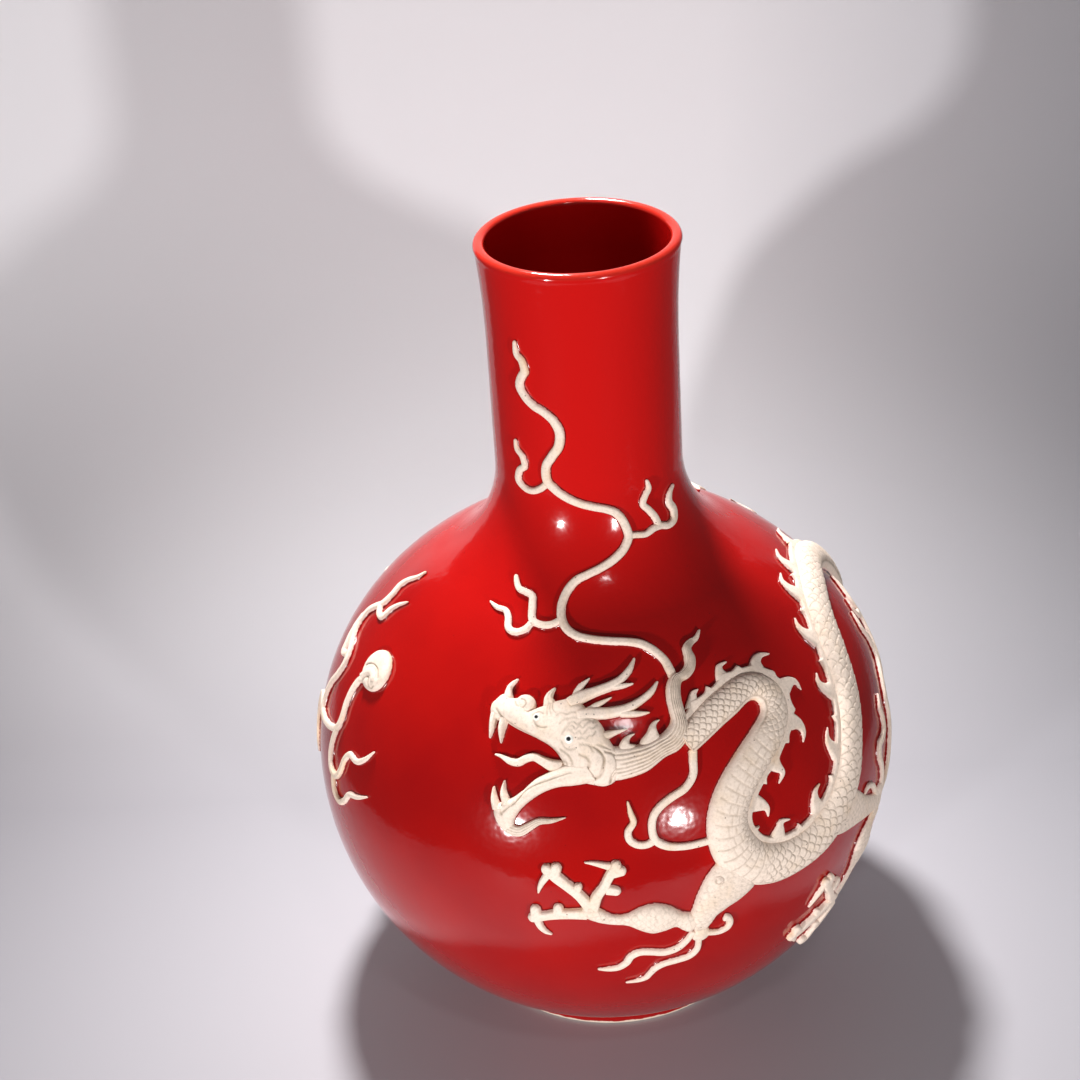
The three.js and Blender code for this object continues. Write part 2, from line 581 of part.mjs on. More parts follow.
// Head: upper edge, lower edge and height share from the nose back to the cheek
const skullShares = [
  [-26.9, 36.6, -26.8, 35.8, 0.45], [-26, 37.5, -26.3, 34.4, 0.6], [-24.6, 38.7, -24.9, 33.8, 0.75],
  [-22, 38.2, -22.6, 33.7, 0.82], [-19.6, 38.4, -19.8, 32.9, 0.86], [-17.4, 36.6, -17, 32.2, 0.84],
  [-15, 37.2, -14.2, 31.4, 0.9], [-12, 38.3, -11.4, 30.2, 1], [-9, 39, -9.3, 28.4, 1],
  [-6.4, 39.7, -7.8, 25.8, 1], [-3.6, 38, -4.2, 24.6, 0.95], [-1.2, 35, -1, 23.8, 0.9],
  [1.2, 31.2, 1.8, 24.1, 0.8],
];
const snoutHornShares = [[-24.2, 37.4, 1.3], [-24.5, 39.6, 0.9], [-24.4, 41, 0.65], [-22.9, 42.3, 0.12]];
const browHornShares = [[-13.4, 36.8, 1.6], [-13.9, 39, 0.95], [-13.2, 40.4, 0.7], [-11.9, 41.6, 0.2]];
const upperFangShares = [
  [[-25.6, 35, 1.2], [-25.5, 32.6, 0.85], [-25.5, 30.3, 0.12]],
  [[-23, 34.6, 1.3], [-23.1, 32.2, 0.95], [-22.7, 29.8, 0.12]],
];
const NOSTRIL = [-19.2, 37.9];
const lowerJawShares = [
  [-21.4, 15.6, -19.6, 13.9, 0.55], [-22.3, 17.4, -18.2, 15, 0.75], [-22, 18.7, -17.9, 16.8, 0.85],
  [-20.8, 19.4, -17.1, 18.2, 0.95], [-18.7, 20.5, -16, 19.5, 1], [-16.8, 22, -14.2, 21, 1],
  [-14.3, 24.3, -12, 22.5, 1], [-12, 25.6, -9.5, 23.5, 1], [-9.5, 26.8, -7, 24, 1],
];
const lowerFangShares = [
  [[-21.6, 18, 1.2], [-22.4, 20.1, 0.85], [-22.8, 22, 0.15]],
  [[-19.6, 19.2, 1.3], [-20.6, 21.3, 0.85], [-20.7, 23.4, 0.12]],
];
const beardShares = [
  [-19.6, 14.9, 1.4], [-17, 14.5, 1.3], [-15, 15.6, 1.05], [-13.2, 16.7, 0.85], [-10.8, 17, 0.6], [-8, 17.7, 0.12],
];
const tongueShares = [
  [-23.7, 27.7, 0.25], [-22, 27.5, 0.6], [-20, 26.9, 1], [-18.3, 26.9, 1.15], [-16.8, 27.7, 1.15],
  [-15, 28.2, 1.2], [-13, 27.6, 1.4], [-11, 27, 1.8], [-8.6, 26.9, 1.7],
];
const upperHornShares = [
  [[-8, 38, 1.4], [-4.6, 39.5, 1.35], [-1, 40.5, 1.15], [2.5, 41.3, 1.1], [5.2, 42.3, 0.9], [8, 44, 0.75],
    [10.1, 46.1, 0.25]],
  [[-6.6, 38.8, 1.2], [-5.3, 41.2, 0.8], [-2.8, 43, 0.1]],
  [[1.5, 41.1, 0.9], [5.5, 41.1, 0.6], [8.5, 41.3, 0.15]],
];
const lowerHornShares = [
  [[-6, 35.8, 1.5], [-2, 36.3, 1.45], [2, 36.4, 1.3], [6, 36.9, 1.1], [9.5, 38, 0.85], [12.5, 39.3, 0.75],
    [14.8, 41, 0.25]],
  [[-4.2, 36.2, 1.1], [-1, 37.9, 0.7], [2.6, 39.2, 0.1]],
  [[4, 36.1, 0.9], [8, 35.7, 0.7], [11.2, 35.6, 0.15]],
];
const earShares = [[-4, 32.2, 1.5], [-0.5, 32.6, 1.25], [2.5, 33.5, 0.9], [5.8, 33.4, 0.12]];
const eyes = [
  { name: "near_eye", azimuth: -7.7, climb: 32, size: 1 },
  { name: "far_eye", azimuth: -15, climb: 35.2, size: 0.8 },
];
const EYE_SEAT = 0.55;

function skullSolid(grow = 0) {
  return join([
    span(skullShares, HEAD_HEIGHT, grow),
    dome(...NOSTRIL, NOSTRIL_RADIUS, HEAD_HEIGHT, grow, 9),
    ribbon(snoutHornShares, 4, HORN_WIDTH, HORN_HEIGHT, wispSection, grow),
    ribbon(browHornShares, 4, HORN_WIDTH, HORN_HEIGHT, wispSection, grow),
    ...upperFangShares.map((fang) => ribbon(fang, 3, FANG_WIDTH, JAW_HEIGHT, wispSection, grow)),
  ]);
}

function lowerJawSolid(grow = 0) {
  return join([
    span(lowerJawShares, JAW_HEIGHT, grow),
    ...lowerFangShares.map((fang) => ribbon(fang, 3, FANG_WIDTH, JAW_HEIGHT, wispSection, grow)),
    ribbon(beardShares, 6, FLAME_WIDTH, FLAME_HEIGHT * 1.3, wispSection, grow),
  ]);
}

function hornSolid(routes, grow = 0) {
  return join(routes.map((route) => ribbon(route, route.length, HORN_WIDTH, HORN_HEIGHT, wispSection, grow)));
}

function eyeSolid(eye, grow = 0) {
  const radius = EYE_RADIUS * eye.size + grow;
  const ball = new THREE.SphereGeometry(radius, 8, 5);
  const [x, y, z] = onWall(eye.azimuth, eye.climb, CLAY_BED + HEAD_HEIGHT * 0.94 - EYE_RADIUS * EYE_SEAT);
  ball.translate(x, y, z);
  ball.deleteAttribute("normal");
  ball.deleteAttribute("uv");
  const whole = mergeVertices(ball);
  return toSolid([...whole.attributes.position.array], [...whole.index.array]);
}

// Mane: upper edge, lower edge and height share from the cheek round and up to the streamer's tip
const maneShares = [
  [1.6, 30.4, 2.2, 24.2, 0.85], [5, 30.2, 5, 24.5, 0.92], [8.5, 30.3, 8.6, 25.3, 1], [11.5, 31, 12.6, 27.2, 1],
  [14.2, 32.2, 16.2, 28.2, 1], [15.6, 33.6, 18.8, 30.4, 1], [15.7, 35.5, 19.2, 33.8, 0.95],
  [15.8, 37.5, 19.3, 36.6, 0.9], [16.5, 39.6, 19.8, 38.4, 0.85], [18.4, 41.4, 20.8, 39.8, 0.75],
  [21, 41.8, 22.8, 40.2, 0.7], [23.2, 42.8, 25.4, 41.4, 0.7], [24, 44.3, 26.9, 43.4, 0.7],
  [24.6, 45.9, 27, 45.2, 0.62], [26.6, 47, 28.3, 46, 0.5], [29.5, 47.4, 30.6, 46.6, 0.4],
  [32.4, 48.4, 32.8, 48.1, 0.3],
];
const maneCurlShares = [
  [[2.8, 29, 1.7], [3.8, 30.7, 1.4], [5.1, 32, 0.8], [7.1, 32.6, 0.12]],
  [[10.2, 29.8, 1.7], [10.6, 32, 1.25], [11.4, 33.5, 0.8], [13.4, 34.4, 0.12]],
];

function maneSolid(grow = 0) {
  const curls = maneCurlShares.map((curl) => ribbon(curl, 4, HORN_WIDTH, HORN_HEIGHT, wispSection, grow));
  return join([span(maneShares, MANE_HEIGHT, grow), ...curls]);
}

// Long wisps: azimuth, climb and width share, and a small shift of the whole wisp in degrees
const NECK_WISP_NUDGE = [0.7, -0.35];
const neckWispShares = [
  [[18.6, 40.4, 1], [18.2, 43, 1.05], [17.6, 45, 1], [15.6, 47.2, 1], [12.4, 49, 1], [8, 49.9, 0.95],
    [3, 50.4, 0.95], [-3, 51, 0.95], [-8, 51.8, 1], [-11.8, 53.4, 1], [-14, 55.6, 1], [-14.6, 58.2, 1],
    [-13, 60.8, 1], [-9.5, 62.8, 1], [-4, 64, 0.95], [3, 65.2, 0.95], [10, 66.6, 1], [16, 68.4, 1],
    [19, 70.4, 1], [17.6, 72.8, 1], [13.6, 75, 1], [8, 76.1, 0.95], [1, 76.8, 0.95], [-7, 77.6, 0.95],
    [-15, 78.8, 1], [-22, 80.4, 1.05], [-26.6, 82.2, 1.1], [-26.6, 84.6, 1.05], [-22.5, 87, 1.05],
    [-17.6, 89.6, 1.1], [-16.8, 92, 1.1], [-19.6, 94.2, 1.05], [-25.5, 95.9, 1], [-32, 96.9, 1],
    [-38, 98.5, 1], [-41.2, 100.4, 1.05], [-39.4, 102.2, 1], [-36.8, 103.6, 1], [-38.2, 105.4, 0.9],
    [-42, 106.8, 0.75], [-42.6, 109.2, 0.4]],
  [[-13.9, 55, 0.8], [-17, 53.8, 0.85], [-21, 53.5, 0.85], [-24.6, 54.4, 0.9], [-26.2, 56.8, 0.9],
    [-27.6, 58.8, 0.85], [-31, 59.4, 0.8], [-35, 59.8, 0.75], [-37.4, 61, 0.65], [-39, 62.1, 0.4]],
  [[-24, 54, 0.8], [-25.4, 52.2, 0.85], [-28.4, 51.1, 0.85], [-31.6, 51.6, 0.85], [-33.6, 53.6, 0.8],
    [-36, 54.8, 0.7], [-40, 54.9, 0.6], [-44.4, 55.5, 0.25]],
  [[18.6, 70.2, 0.8], [23, 70.1, 0.75], [29, 69.7, 0.75], [35, 70.2, 0.85], [40, 70.1, 0.85], [45, 69.5, 0.85],
    [50.4, 70.2, 1], [52, 71.8, 1.1], [50, 73.6, 1], [52, 75, 0.75], [57.6, 76.2, 0.3]],
  [[38.4, 70.2, 0.9], [37.4, 72, 0.9], [34, 74, 0.85], [30.6, 75.6, 0.8], [32.6, 77, 0.8], [35.6, 78.4, 0.7],
    [34.4, 80.2, 0.35]],
  [[-26, 81.4, 0.8], [-31, 79.9, 0.8], [-37, 79, 0.8], [-42.5, 79.2, 0.8], [-47.4, 80.6, 0.85], [-46, 82.4, 0.85],
    [-41.4, 84, 0.8], [-42.6, 85.6, 0.75], [-47, 87, 0.6], [-48, 88.8, 0.35]],
];
const cheekWispShares = [
  [[18.4, 29, 1], [18.4, 25.6, 0.95], [17.8, 23.2, 0.9], [15.8, 21.2, 0.9], [12.6, 19.9, 0.9], [10.2, 18.6, 0.9],
    [8.7, 17, 0.9], [8.2, 14.8, 0.9], [8.6, 12.7, 0.95], [10.4, 11.3, 0.95], [14, 10.5, 0.85], [19.6, 10.5, 0.85]],
  [[8.8, 12.8, 0.9], [7, 12, 0.85], [5.1, 12.2, 0.85], [3.8, 13.3, 0.85], [3.7, 14.8, 0.8], [4.8, 16.4, 0.75],
    [4.4, 18.2, 0.6], [4, 20.4, 0.2]],
];

// Flaming pearl: place, and the routes of its flames
const PEARL = [-64.6, 31.9];
const pearlFlameShares = [
  [[-67, 29, 1.2], [-68.8, 27.8, 1], [-69.6, 25.6, 1], [-69.6, 22.4, 1], [-69, 19, 1], [-69.8, 16.6, 1],
    [-73, 14.9, 1], [-78, 13.6, 1.05], [-82, 13.4, 1.1], [-86, 14.2, 0.9], [-89.6, 12.6, 0.9],
    [-90.8, 9, 0.9], [-89.6, 5.4, 0.8], [-87.6, 2.6, 0.6], [-86.8, 0.4, 0.25]],
  [[-69.8, 16.4, 0.95], [-70.4, 13.4, 0.9], [-70.2, 10.4, 0.9], [-68.6, 8, 0.95], [-66, 8, 0.95],
    [-64.2, 10.2, 0.9], [-63.2, 13.2, 0.85], [-61.6, 15, 0.85], [-58.6, 15, 0.8], [-56.2, 16.6, 0.65],
    [-53.8, 19.3, 0.2]],
  [[-67.4, 8.2, 0.95], [-67.2, 6, 0.9], [-66, 4, 0.9], [-63.6, 3.6, 0.9], [-61.4, 5.2, 0.85],
    [-59.6, 7.4, 0.8], [-56.6, 8.4, 0.65], [-53.2, 10.1, 0.2]],
  [[-82, 12.8, 1], [-83, 16, 1], [-82.4, 19.6, 1], [-80.4, 23, 1], [-79.8, 26, 1], [-81.6, 28.4, 1.05],
    [-85, 29.8, 1.05], [-87.6, 32.4, 1], [-87.8, 35.2, 1], [-86, 37.4, 1], [-84, 39.4, 1], [-84, 42, 1],
    [-85.4, 44.2, 0.95], [-84.6, 46.4, 0.8], [-82.6, 48.4, 0.6], [-82.2, 50.4, 0.3]],
  [[-81.6, 27.2, 0.95], [-84.6, 26, 1], [-86.2, 27.8, 0.95], [-88, 30.2, 0.85], [-90.4, 33, 0.25]],
  [[-84.6, 38.8, 0.9], [-81.4, 38, 0.9], [-78.4, 38.6, 0.9], [-78, 40.8, 0.8], [-76.8, 42.6, 0.6],
    [-74.2, 44.8, 0.2]],
];

// Flames round the back, and the tuft at the tail's tip
const shoulderFlameShares = [
  [[139, 20, 0.35], [136.6, 25, 0.9], [139.4, 29.6, 1], [144.6, 32.6, 1], [147, 36.8, 1], [145.4, 41, 1],
    [149, 45.4, 1], [149.6, 49, 1], [144.6, 51.6, 1], [138, 52.6, 0.85], [131.4, 54.4, 0.25]],
  [[140, 30.4, 0.85], [134.6, 31.4, 0.85], [132, 34.8, 0.8], [136, 37.6, 0.6], [135.6, 40.4, 0.25]],
];
const sideFlameShares = [
  [[92, 8.6, 0.4], [93.6, 12.4, 0.9], [96.4, 16.4, 1], [98.6, 20, 1], [98.4, 23.4, 1], [101, 26.4, 0.8], [102.6, 29, 0.25]],
  [[98.4, 21.4, 0.9], [95, 22, 0.85], [93.4, 24.4, 0.6], [95, 27, 0.25]],
];
const loopFlameShares = [
  [[157.4, -18, 0.35], [161.4, -15.4, 0.8], [165.8, -17.4, 1], [169, -21.2, 1], [174, -22.8, 1], [178.4, -19.6, 1],
    [182, -15.6, 0.9], [187, -15.2, 0.6], [190.6, -18, 0.25]],
  [[171, -22.2, 0.9], [173.6, -26.4, 0.9], [178.6, -28.2, 0.8], [183.4, -26.2, 0.6], [187, -28.4, 0.25]],
];
const backNeckFlameShares = [
  [[168, 33, 0.9], [168.6, 40, 0.9], [164.6, 45.6, 1], [168.4, 50.4, 1], [177, 53, 1], [184, 57, 1], [181, 62, 1],
    [170, 65.6, 1], [164, 70, 1], [170, 74.4, 1], [181, 77.2, 1], [186, 82, 0.9], [178, 86.6, 0.7],
    [180, 91, 0.3]],
  [[182.4, 60, 0.85], [190, 62, 0.85], [195.6, 60.4, 0.8], [201, 62.4, 0.55], [206, 61.6, 0.25]],
  [[171.6, 75, 0.85], [160, 77, 0.85], [152, 80.4, 0.7], [156, 84, 0.35]],
];
const tailTuftShares = [
  [[234, 21.8, 1.5], [237.6, 21, 1.6], [240.6, 18.4, 1.2], [244, 17.8, 0.3]],
  [[233.8, 22.2, 1.2], [237, 24, 1.2], [238.6, 26.6, 0.9], [241.4, 27.8, 0.25]],
  [[234.2, 21.2, 1.2], [236.8, 17.8, 1.2], [239, 14, 0.9], [242.8, 13.2, 0.25]],
  [[233.4, 22.4, 1], [232.8, 25.8, 1], [231.4, 29, 0.7], [232.8, 32.2, 0.25]],
];

const nudged = (routes, [turn, rise]) => routes.map((route) => (
  route.map(([azimuth, climb, share]) => [azimuth + turn, climb + rise, share])
));

function wispSolid(routes, width, height, stepsPerRow = 0.85) {
  return join(routes.map((route) => ribbon(route, Math.round(route.length * stepsPerRow), width, height)));
}

// Vessel sections, each turned from an outline that closes on itself or on the axis
function turned(points) {
  const lathe = new THREE.LatheGeometry(points.map(([radius, height]) => new THREE.Vector2(radius, height)), FACETS);
  lathe.rotateX(Math.PI / 2);
  lathe.deleteAttribute("normal");
  lathe.deleteAttribute("uv");
  const whole = mergeVertices(lathe);
  const index = [...whole.index.array];
  const faces = [];
  for (let i = 0; i < index.length; i += 3) {
    const [a, b, c] = index.slice(i, i + 3);
    if (a !== b && b !== c && c !== a) faces.push(a, b, c);
  }
  return toSolid([...whole.attributes.position.array], faces);
}

function wallPoints(fromClimb, toClimb, count, inward, outside = true) {
  // Outside, in the hollow of the fillet, the points sit in by the bulge of a flat facet, so none stands proud.
  const facet = (climbRun(toClimb) - climbRun(fromClimb)) / count;
  const bulge = (facet * facet) / (8 * SHOULDER_FILLET);
  return Array.from({ length: count + 1 }, (_, i) => {
    const distance = climbRun(fromClimb + ((toClimb - fromClimb) * i) / count);
    const at = outlineAt(distance);
    const hollow = outside && distance > filletStart && distance < filletEnd + facet / 2;
    const depth = inward + (hollow ? bulge : 0);
    return [at.radius - at.outR * depth, at.height - at.outZ * depth];
  });
}

function jointedWall(lowClimb, highClimb, outCount, inCount, lowWall, highWall) {
  // A length of wall with a flat face at each end, half a seam short of the joint.
  const outer = wallPoints(lowClimb, highClimb, outCount, 0);
  const inner = wallPoints(lowClimb, highClimb, inCount, 0, false).map(([radius, height], i) => {
    const wall = lowWall + ((highWall - lowWall) * i) / inCount;
    const at = outlineAt(climbRun(lowClimb + ((highClimb - lowClimb) * i) / inCount));
    return [radius - at.outR * wall, height - at.outZ * wall];
  });
  const ends = [[lowClimb, lowWall, 0, 0, SEAM / 2], [highClimb, highWall, outCount, inCount, -SEAM / 2]];
  ends.forEach(([climb, wall, outRow, inRow, lift]) => {
    const at = outlineAt(climbRun(climb));
    outer[outRow] = [outer[outRow][0], at.height + lift];
    inner[inRow] = [outer[outRow][0] - wall / at.outR, at.height + lift];
  });
  return [...outer, ...inner.reverse(), outer[0]];
}

function footRing() {
  const topRadius = outlineAt(0).radius;
  const top = FOOT_HEIGHT - SEAM / 2;
  const points = [
    [topRadius, top], [FOOT_RADIUS, FOOT_BEVEL], [FOOT_RADIUS - FOOT_BEVEL, 0],
    [FOOT_RADIUS - FOOT_WIDTH + FOOT_BEVEL, 0], [FOOT_RADIUS - FOOT_WIDTH, FOOT_BEVEL],
    [topRadius - FOOT_WIDTH * 1.2, top],
  ];
  return turned([...points, points[0]]);
}

function lowerBowl() {
  const outCount = 9;
  const inCount = 6;
  const outer = wallPoints(-FOOT_ANGLE, GIRTH_JOINT_ANGLE, outCount, 0);
  const joint = outer[outCount];
  const floorTop = FOOT_HEIGHT + FLOOR_THICKNESS;
  const inner = wallPoints(-FOOT_ANGLE, GIRTH_JOINT_ANGLE, inCount, BOWL_WALL).filter((point) => point[1] > floorTop + BOWL_WALL);
  const jointWall = outlineAt(climbRun(GIRTH_JOINT_ANGLE));
  inner[inner.length - 1] = [joint[0] - BOWL_WALL / jointWall.outR, joint[1] - SEAM / 2];
  outer[outCount] = [joint[0], joint[1] - SEAM / 2];
  outer[0] = [outer[0][0], outer[0][1] + SEAM / 2];
  const recessRadius = outer[0][0] - FOOT_WIDTH * 1.2;
  const under = [[0, FOOT_HEIGHT + SEAM / 2], [recessRadius, FOOT_HEIGHT + SEAM / 2]];
  const floor = [[(inner[0][0] + recessRadius) / 2, floorTop + BOWL_WALL * 0.3], [recessRadius * 0.75, floorTop], [0, floorTop]];
  return turned([...under, ...outer, ...inner.reverse(), ...floor]);
}

function upperBowl() {
  return turned(jointedWall(GIRTH_JOINT_ANGLE, NECK_JOINT_ANGLE, 11, 7, BOWL_WALL, NECK_WALL));
}

function neck() {
  // The last rows are the lip: the outer edge, the flat of the rim and the inner edge, all rounded.
  const below = LIP_ANGLE - LIP_ROUND / CLIMB_UP;
  const rows = 6;
  const start = jointedWall(NECK_JOINT_ANGLE, below, rows, rows, NECK_WALL, NECK_WALL);
  const outer = start.slice(0, rows + 1);
  const inner = start.slice(rows + 1, -1);
  const edge = outer[rows][0];
  outer[rows] = [edge, TOTAL_HEIGHT - LIP_ROUND];
  inner[0] = [edge - NECK_WALL, TOTAL_HEIGHT - LIP_ROUND];
  const rim = [0.3, 1, 1, 0.3].map((up, i) => {
    const inset = [0.16, 0.4, 0.62, 0.85][i] * NECK_WALL;
    return [edge - inset, TOTAL_HEIGHT - LIP_ROUND * (i === 1 || i === 2 ? 0 : up)];
  });
  return turned([...outer, ...rim, ...inner, outer[0]]);
}

// Assembly
const vase = new THREE.Group();

function place(name, solid, material) {
  const mesh = new THREE.Mesh(geometryOf(solid), material);
  mesh.name = name;
  vase.add(mesh);
}

place("foot_ring", footRing(), glaze(0x8f0d0a));
place("lower_bowl", lowerBowl(), glaze(0xa3100b));
place("upper_bowl", upperBowl(), glaze(0xa3100b));
place("neck", neck(), glaze(0xa3100b));

const trunks = Object.fromEntries(trunkStretches.map((stretch) => [stretch.name, stretch]));
const grownSkull = skullSolid(PIECE_GAP);
const grownMane = maneSolid(PIECE_GAP);
const grownJaw = lowerJawSolid(PIECE_GAP);
const grownTrunks = trunkStretches.map((stretch) => trunkSolid(stretch, PIECE_GAP));
const grownEyes = eyes.map((eye) => eyeSolid(eye, PIECE_GAP));

trunkStretches.forEach((stretch) => {
  const cutters = stretch.name === "neck_stretch" ? [grownMane] : [];
  place(stretch.name, cut(trunkSolid(stretch), cutters), biscuit());
});

trunkStretches.forEach((stretch, i) => {
  const nearTrunks = grownTrunks.slice(Math.max(0, i - 1), i + 2);
  const before = i > 0 ? crestSolid(trunkStretches[i - 1], PIECE_GAP) : grownMane;
  const cutters = [...nearTrunks, before];
  place(stretch.name.replace("stretch", "crest"), cut(crestSolid(stretch), cutters), biscuit());
});

legs.forEach((leg) => {
  place(leg.name, cut(legSolid(leg), grownTrunks), biscuit());
  place(`${leg.name}_flames`, cut(elbowFlames(leg), [legSolid(leg, PIECE_GAP)]), biscuit());
});

place("skull", cut(skullSolid(), grownEyes), biscuit());
place("lower_jaw", cut(lowerJawSolid(), [grownSkull]), biscuit());
place("tongue", cut(ribbon(tongueShares, 9, TONGUE_WIDTH, TONGUE_HEIGHT), [grownSkull, grownJaw]), biscuit());
place("upper_horn", cut(hornSolid(upperHornShares), [grownSkull]), biscuit());
place("lower_horn", cut(hornSolid(lowerHornShares), [grownSkull]), biscuit());
place("ear", cut(ribbon(earShares, 4, HORN_WIDTH, HORN_HEIGHT), [grownSkull, grownMane]), biscuit());
place("mane", cut(maneSolid(), [grownSkull]), biscuit());
eyes.forEach((eye) => place(eye.name, eyeSolid(eye), slip()));

place("neck_wisp", cut(wispSolid(nudged(neckWispShares, NECK_WISP_NUDGE), WISP_WIDTH, WISP_HEIGHT), [grownMane]), biscuit());
const cheekCutters = [grownMane, ...grownTrunks.slice(0, 2)];
place("cheek_wisp", cut(wispSolid(cheekWispShares, WISP_WIDTH, WISP_HEIGHT), cheekCutters), biscuit());
place("pearl", dome(...PEARL, PEARL_RADIUS, PEARL_HEIGHT, 0, 14), biscuit());
const grownPearl = dome(...PEARL, PEARL_RADIUS, PEARL_HEIGHT, PIECE_GAP, 14);
place("pearl_flames", cut(wispSolid(pearlFlameShares, FLAME_WIDTH, FLAME_HEIGHT), [grownPearl]), biscuit());

const grownCrest = crestSolid(trunks.falling_stretch, PIECE_GAP);
const shoulderCutters = [...grownTrunks.slice(2, 4), grownCrest];
place("shoulder_flame", cut(wispSolid(shoulderFlameShares, FLAME_WIDTH, FLAME_HEIGHT), shoulderCutters), biscuit());
const backCutters = [grownTrunks[4], crestSolid(trunks.back_stretch, PIECE_GAP)];
place("back_neck_flame", cut(wispSolid(backNeckFlameShares, FLAME_WIDTH, FLAME_HEIGHT), backCutters), biscuit());
place("side_flame", wispSolid(sideFlameShares, FLAME_WIDTH, FLAME_HEIGHT), biscuit());
place("loop_flame", wispSolid(loopFlameShares, FLAME_WIDTH, FLAME_HEIGHT), biscuit());
const grownTailCrest = crestSolid(trunks.tail_stretch, PIECE_GAP);
place("tail_tuft", cut(wispSolid(tailTuftShares, FLAME_WIDTH, FLAME_HEIGHT), [grownTrunks[5], grownTailCrest]), biscuit());

export default vase;
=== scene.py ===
import math

import bmesh
import bpy
import numpy as np
from mathutils import Matrix, Vector


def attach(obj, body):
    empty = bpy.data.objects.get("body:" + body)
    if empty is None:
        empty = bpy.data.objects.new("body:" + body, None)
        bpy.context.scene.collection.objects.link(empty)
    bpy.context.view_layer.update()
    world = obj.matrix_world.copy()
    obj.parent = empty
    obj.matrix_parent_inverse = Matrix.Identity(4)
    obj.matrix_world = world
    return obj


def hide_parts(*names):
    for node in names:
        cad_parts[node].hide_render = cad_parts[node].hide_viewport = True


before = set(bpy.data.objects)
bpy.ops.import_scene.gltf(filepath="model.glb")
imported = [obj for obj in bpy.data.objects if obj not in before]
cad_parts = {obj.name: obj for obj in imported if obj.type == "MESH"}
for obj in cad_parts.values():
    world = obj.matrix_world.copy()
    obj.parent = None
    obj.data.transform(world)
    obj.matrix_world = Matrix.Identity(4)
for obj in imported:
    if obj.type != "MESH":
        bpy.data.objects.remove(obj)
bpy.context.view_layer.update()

# Shapes are worked out in millimetres and placed in metres.
MM = 0.001

# Vessel sizes
TOTAL_HEIGHT = 422
GIRTH_HEIGHT = 139.5
GLOBE_RADIUS = 150
SHOULDER_RISE = 132
BOWL_FOOT_RADIUS = 74
NECK_RADIUS = 46.7
SHOULDER_FILLET = 60
LIP_RADIUS = 50
FLARE_START = 0.45
FLARE_POWER = 2.6
BOWL_WALL = 6.5
NECK_WALL = 5.2
FLOOR_THICKNESS = 9
FLOOR_SHARES = (0.94, 0.85, 0.7, 0.5, 0.25)
DISH_RISE = 4
LIP_ROUND = 2.75
LIP_FALL = 3.2
SEAM = 0.2
FOOT_HEIGHT = 9
FOOT_RADIUS = 73
FOOT_WIDTH = 10
FOOT_BEVEL = 1.2
TURNS = 224

# Relief sizes
CLAY_BED = 0.4
JOINT = 0.03
# Glaze pools against the clay in a low rim: its width, and the lifts at its outside, middle and inside
POOL_WIDTH = 0.8
POOL_LIFTS = (-0.35, 0.1, 0.45)
TRUNK_WIDTH = 18.3
TRUNK_HEIGHT = 6.4
TRUNK_ROUNDING = 2.3
CREST_WIDTH = 2.5
CREST_HEIGHT = 1.9
CREST_TUCK = 1
SPIKE_WIDTH = 8.4
LEG_WIDTH = 17.3
LEG_HEIGHT = 5.2
FAR_LEG_HEIGHT = 2.8
BOSS_RADIUS = 3.8
BOSS_HEIGHT = LEG_HEIGHT * 1.12
TOE_WIDTH = 5.2
TOE_HEIGHT = 3
CLAW_WIDTH = 3.4
CLAW_HEIGHT = 2.2
FLAME_WIDTH = 4
FLAME_HEIGHT = 2
WISP_WIDTH = 4.3
WISP_HEIGHT = 2
MANE_HEIGHT = 5.4
HORN_WIDTH = 4.2
HORN_HEIGHT = 3.4
# Strips that grow out of the head: the length over which they come down, and by how much
HORN_ROOT = (13, 3.1)
TUFT_ROOT = (7, 2.6)
HEAD_HEIGHT = 6.8
JAW_HEIGHT = 4.6
TONGUE_WIDTH = 3.2
TONGUE_HEIGHT = 3
FANG_WIDTH = 3.4
NOSTRIL_RADIUS = 5
EYE_RADIUS = 2
EYE_TURN = (-0.05, -0.12, 0.1)
PEARL_RADIUS = 10.8
PEARL_HEIGHT = 3.8
HOOK_RISE = 1
PIECE_GAP = 0.35
GROOVE_DEPTH = 0.3
MANE_GROOVE_DEPTH = 0.5
FIRM_RISE = 1.6

# How finely each kind of strip is made, the power of its rounding and the lengths of its round ends
SPIKE_FORM = {"cols": 17, "step": 0.5, "power": 5, "ends": (0.0, 0.6)}
LIMB_FORM = {"cols": 41, "step": 0.5, "power": 3}
TOE_FORM = {"cols": 17, "step": 0.5, "power": 6, "ends": (0.8, 1.8)}
CLAW_FORM = {"cols": 13, "step": 0.5, "power": 4, "ends": (0.8, 0.5)}
PAD_FORM = {"cols": 17, "step": 0.4, "power": 6, "ends": (0.8, 2.2)}
FANG_FORM = {"cols": 15, "step": 0.5, "power": 2.2, "ends": (0.8, 0.5)}
HORN_FORM = {"cols": 21, "step": 0.5, "ends": (1.0, 0.8)}

# Scales: small on the neck and the loop, larger from the rising stretch on
SMALL_SCALE = 3.9
LARGE_SCALE = 5.7
SCALE_CUT = 0.34
SCALE_LIFT = 0.34
# A row of scales takes this share of a scale's width, and a scale spreads and overlaps by these shares
SCALE_ROW_SHARE = 0.54
SCALE_SPREAD = 0.56
SCALE_OVERLAP = 1.66
PLATE_PITCH = 5
BRICK = 3.8

# Map of the wall: an azimuth in degrees, 0 at -Y and growing towards +X, and a climb from the girth
LIP_ANGLE = 123
FOOT_ANGLE = 60.5
OUTLINE_STEPS = 240


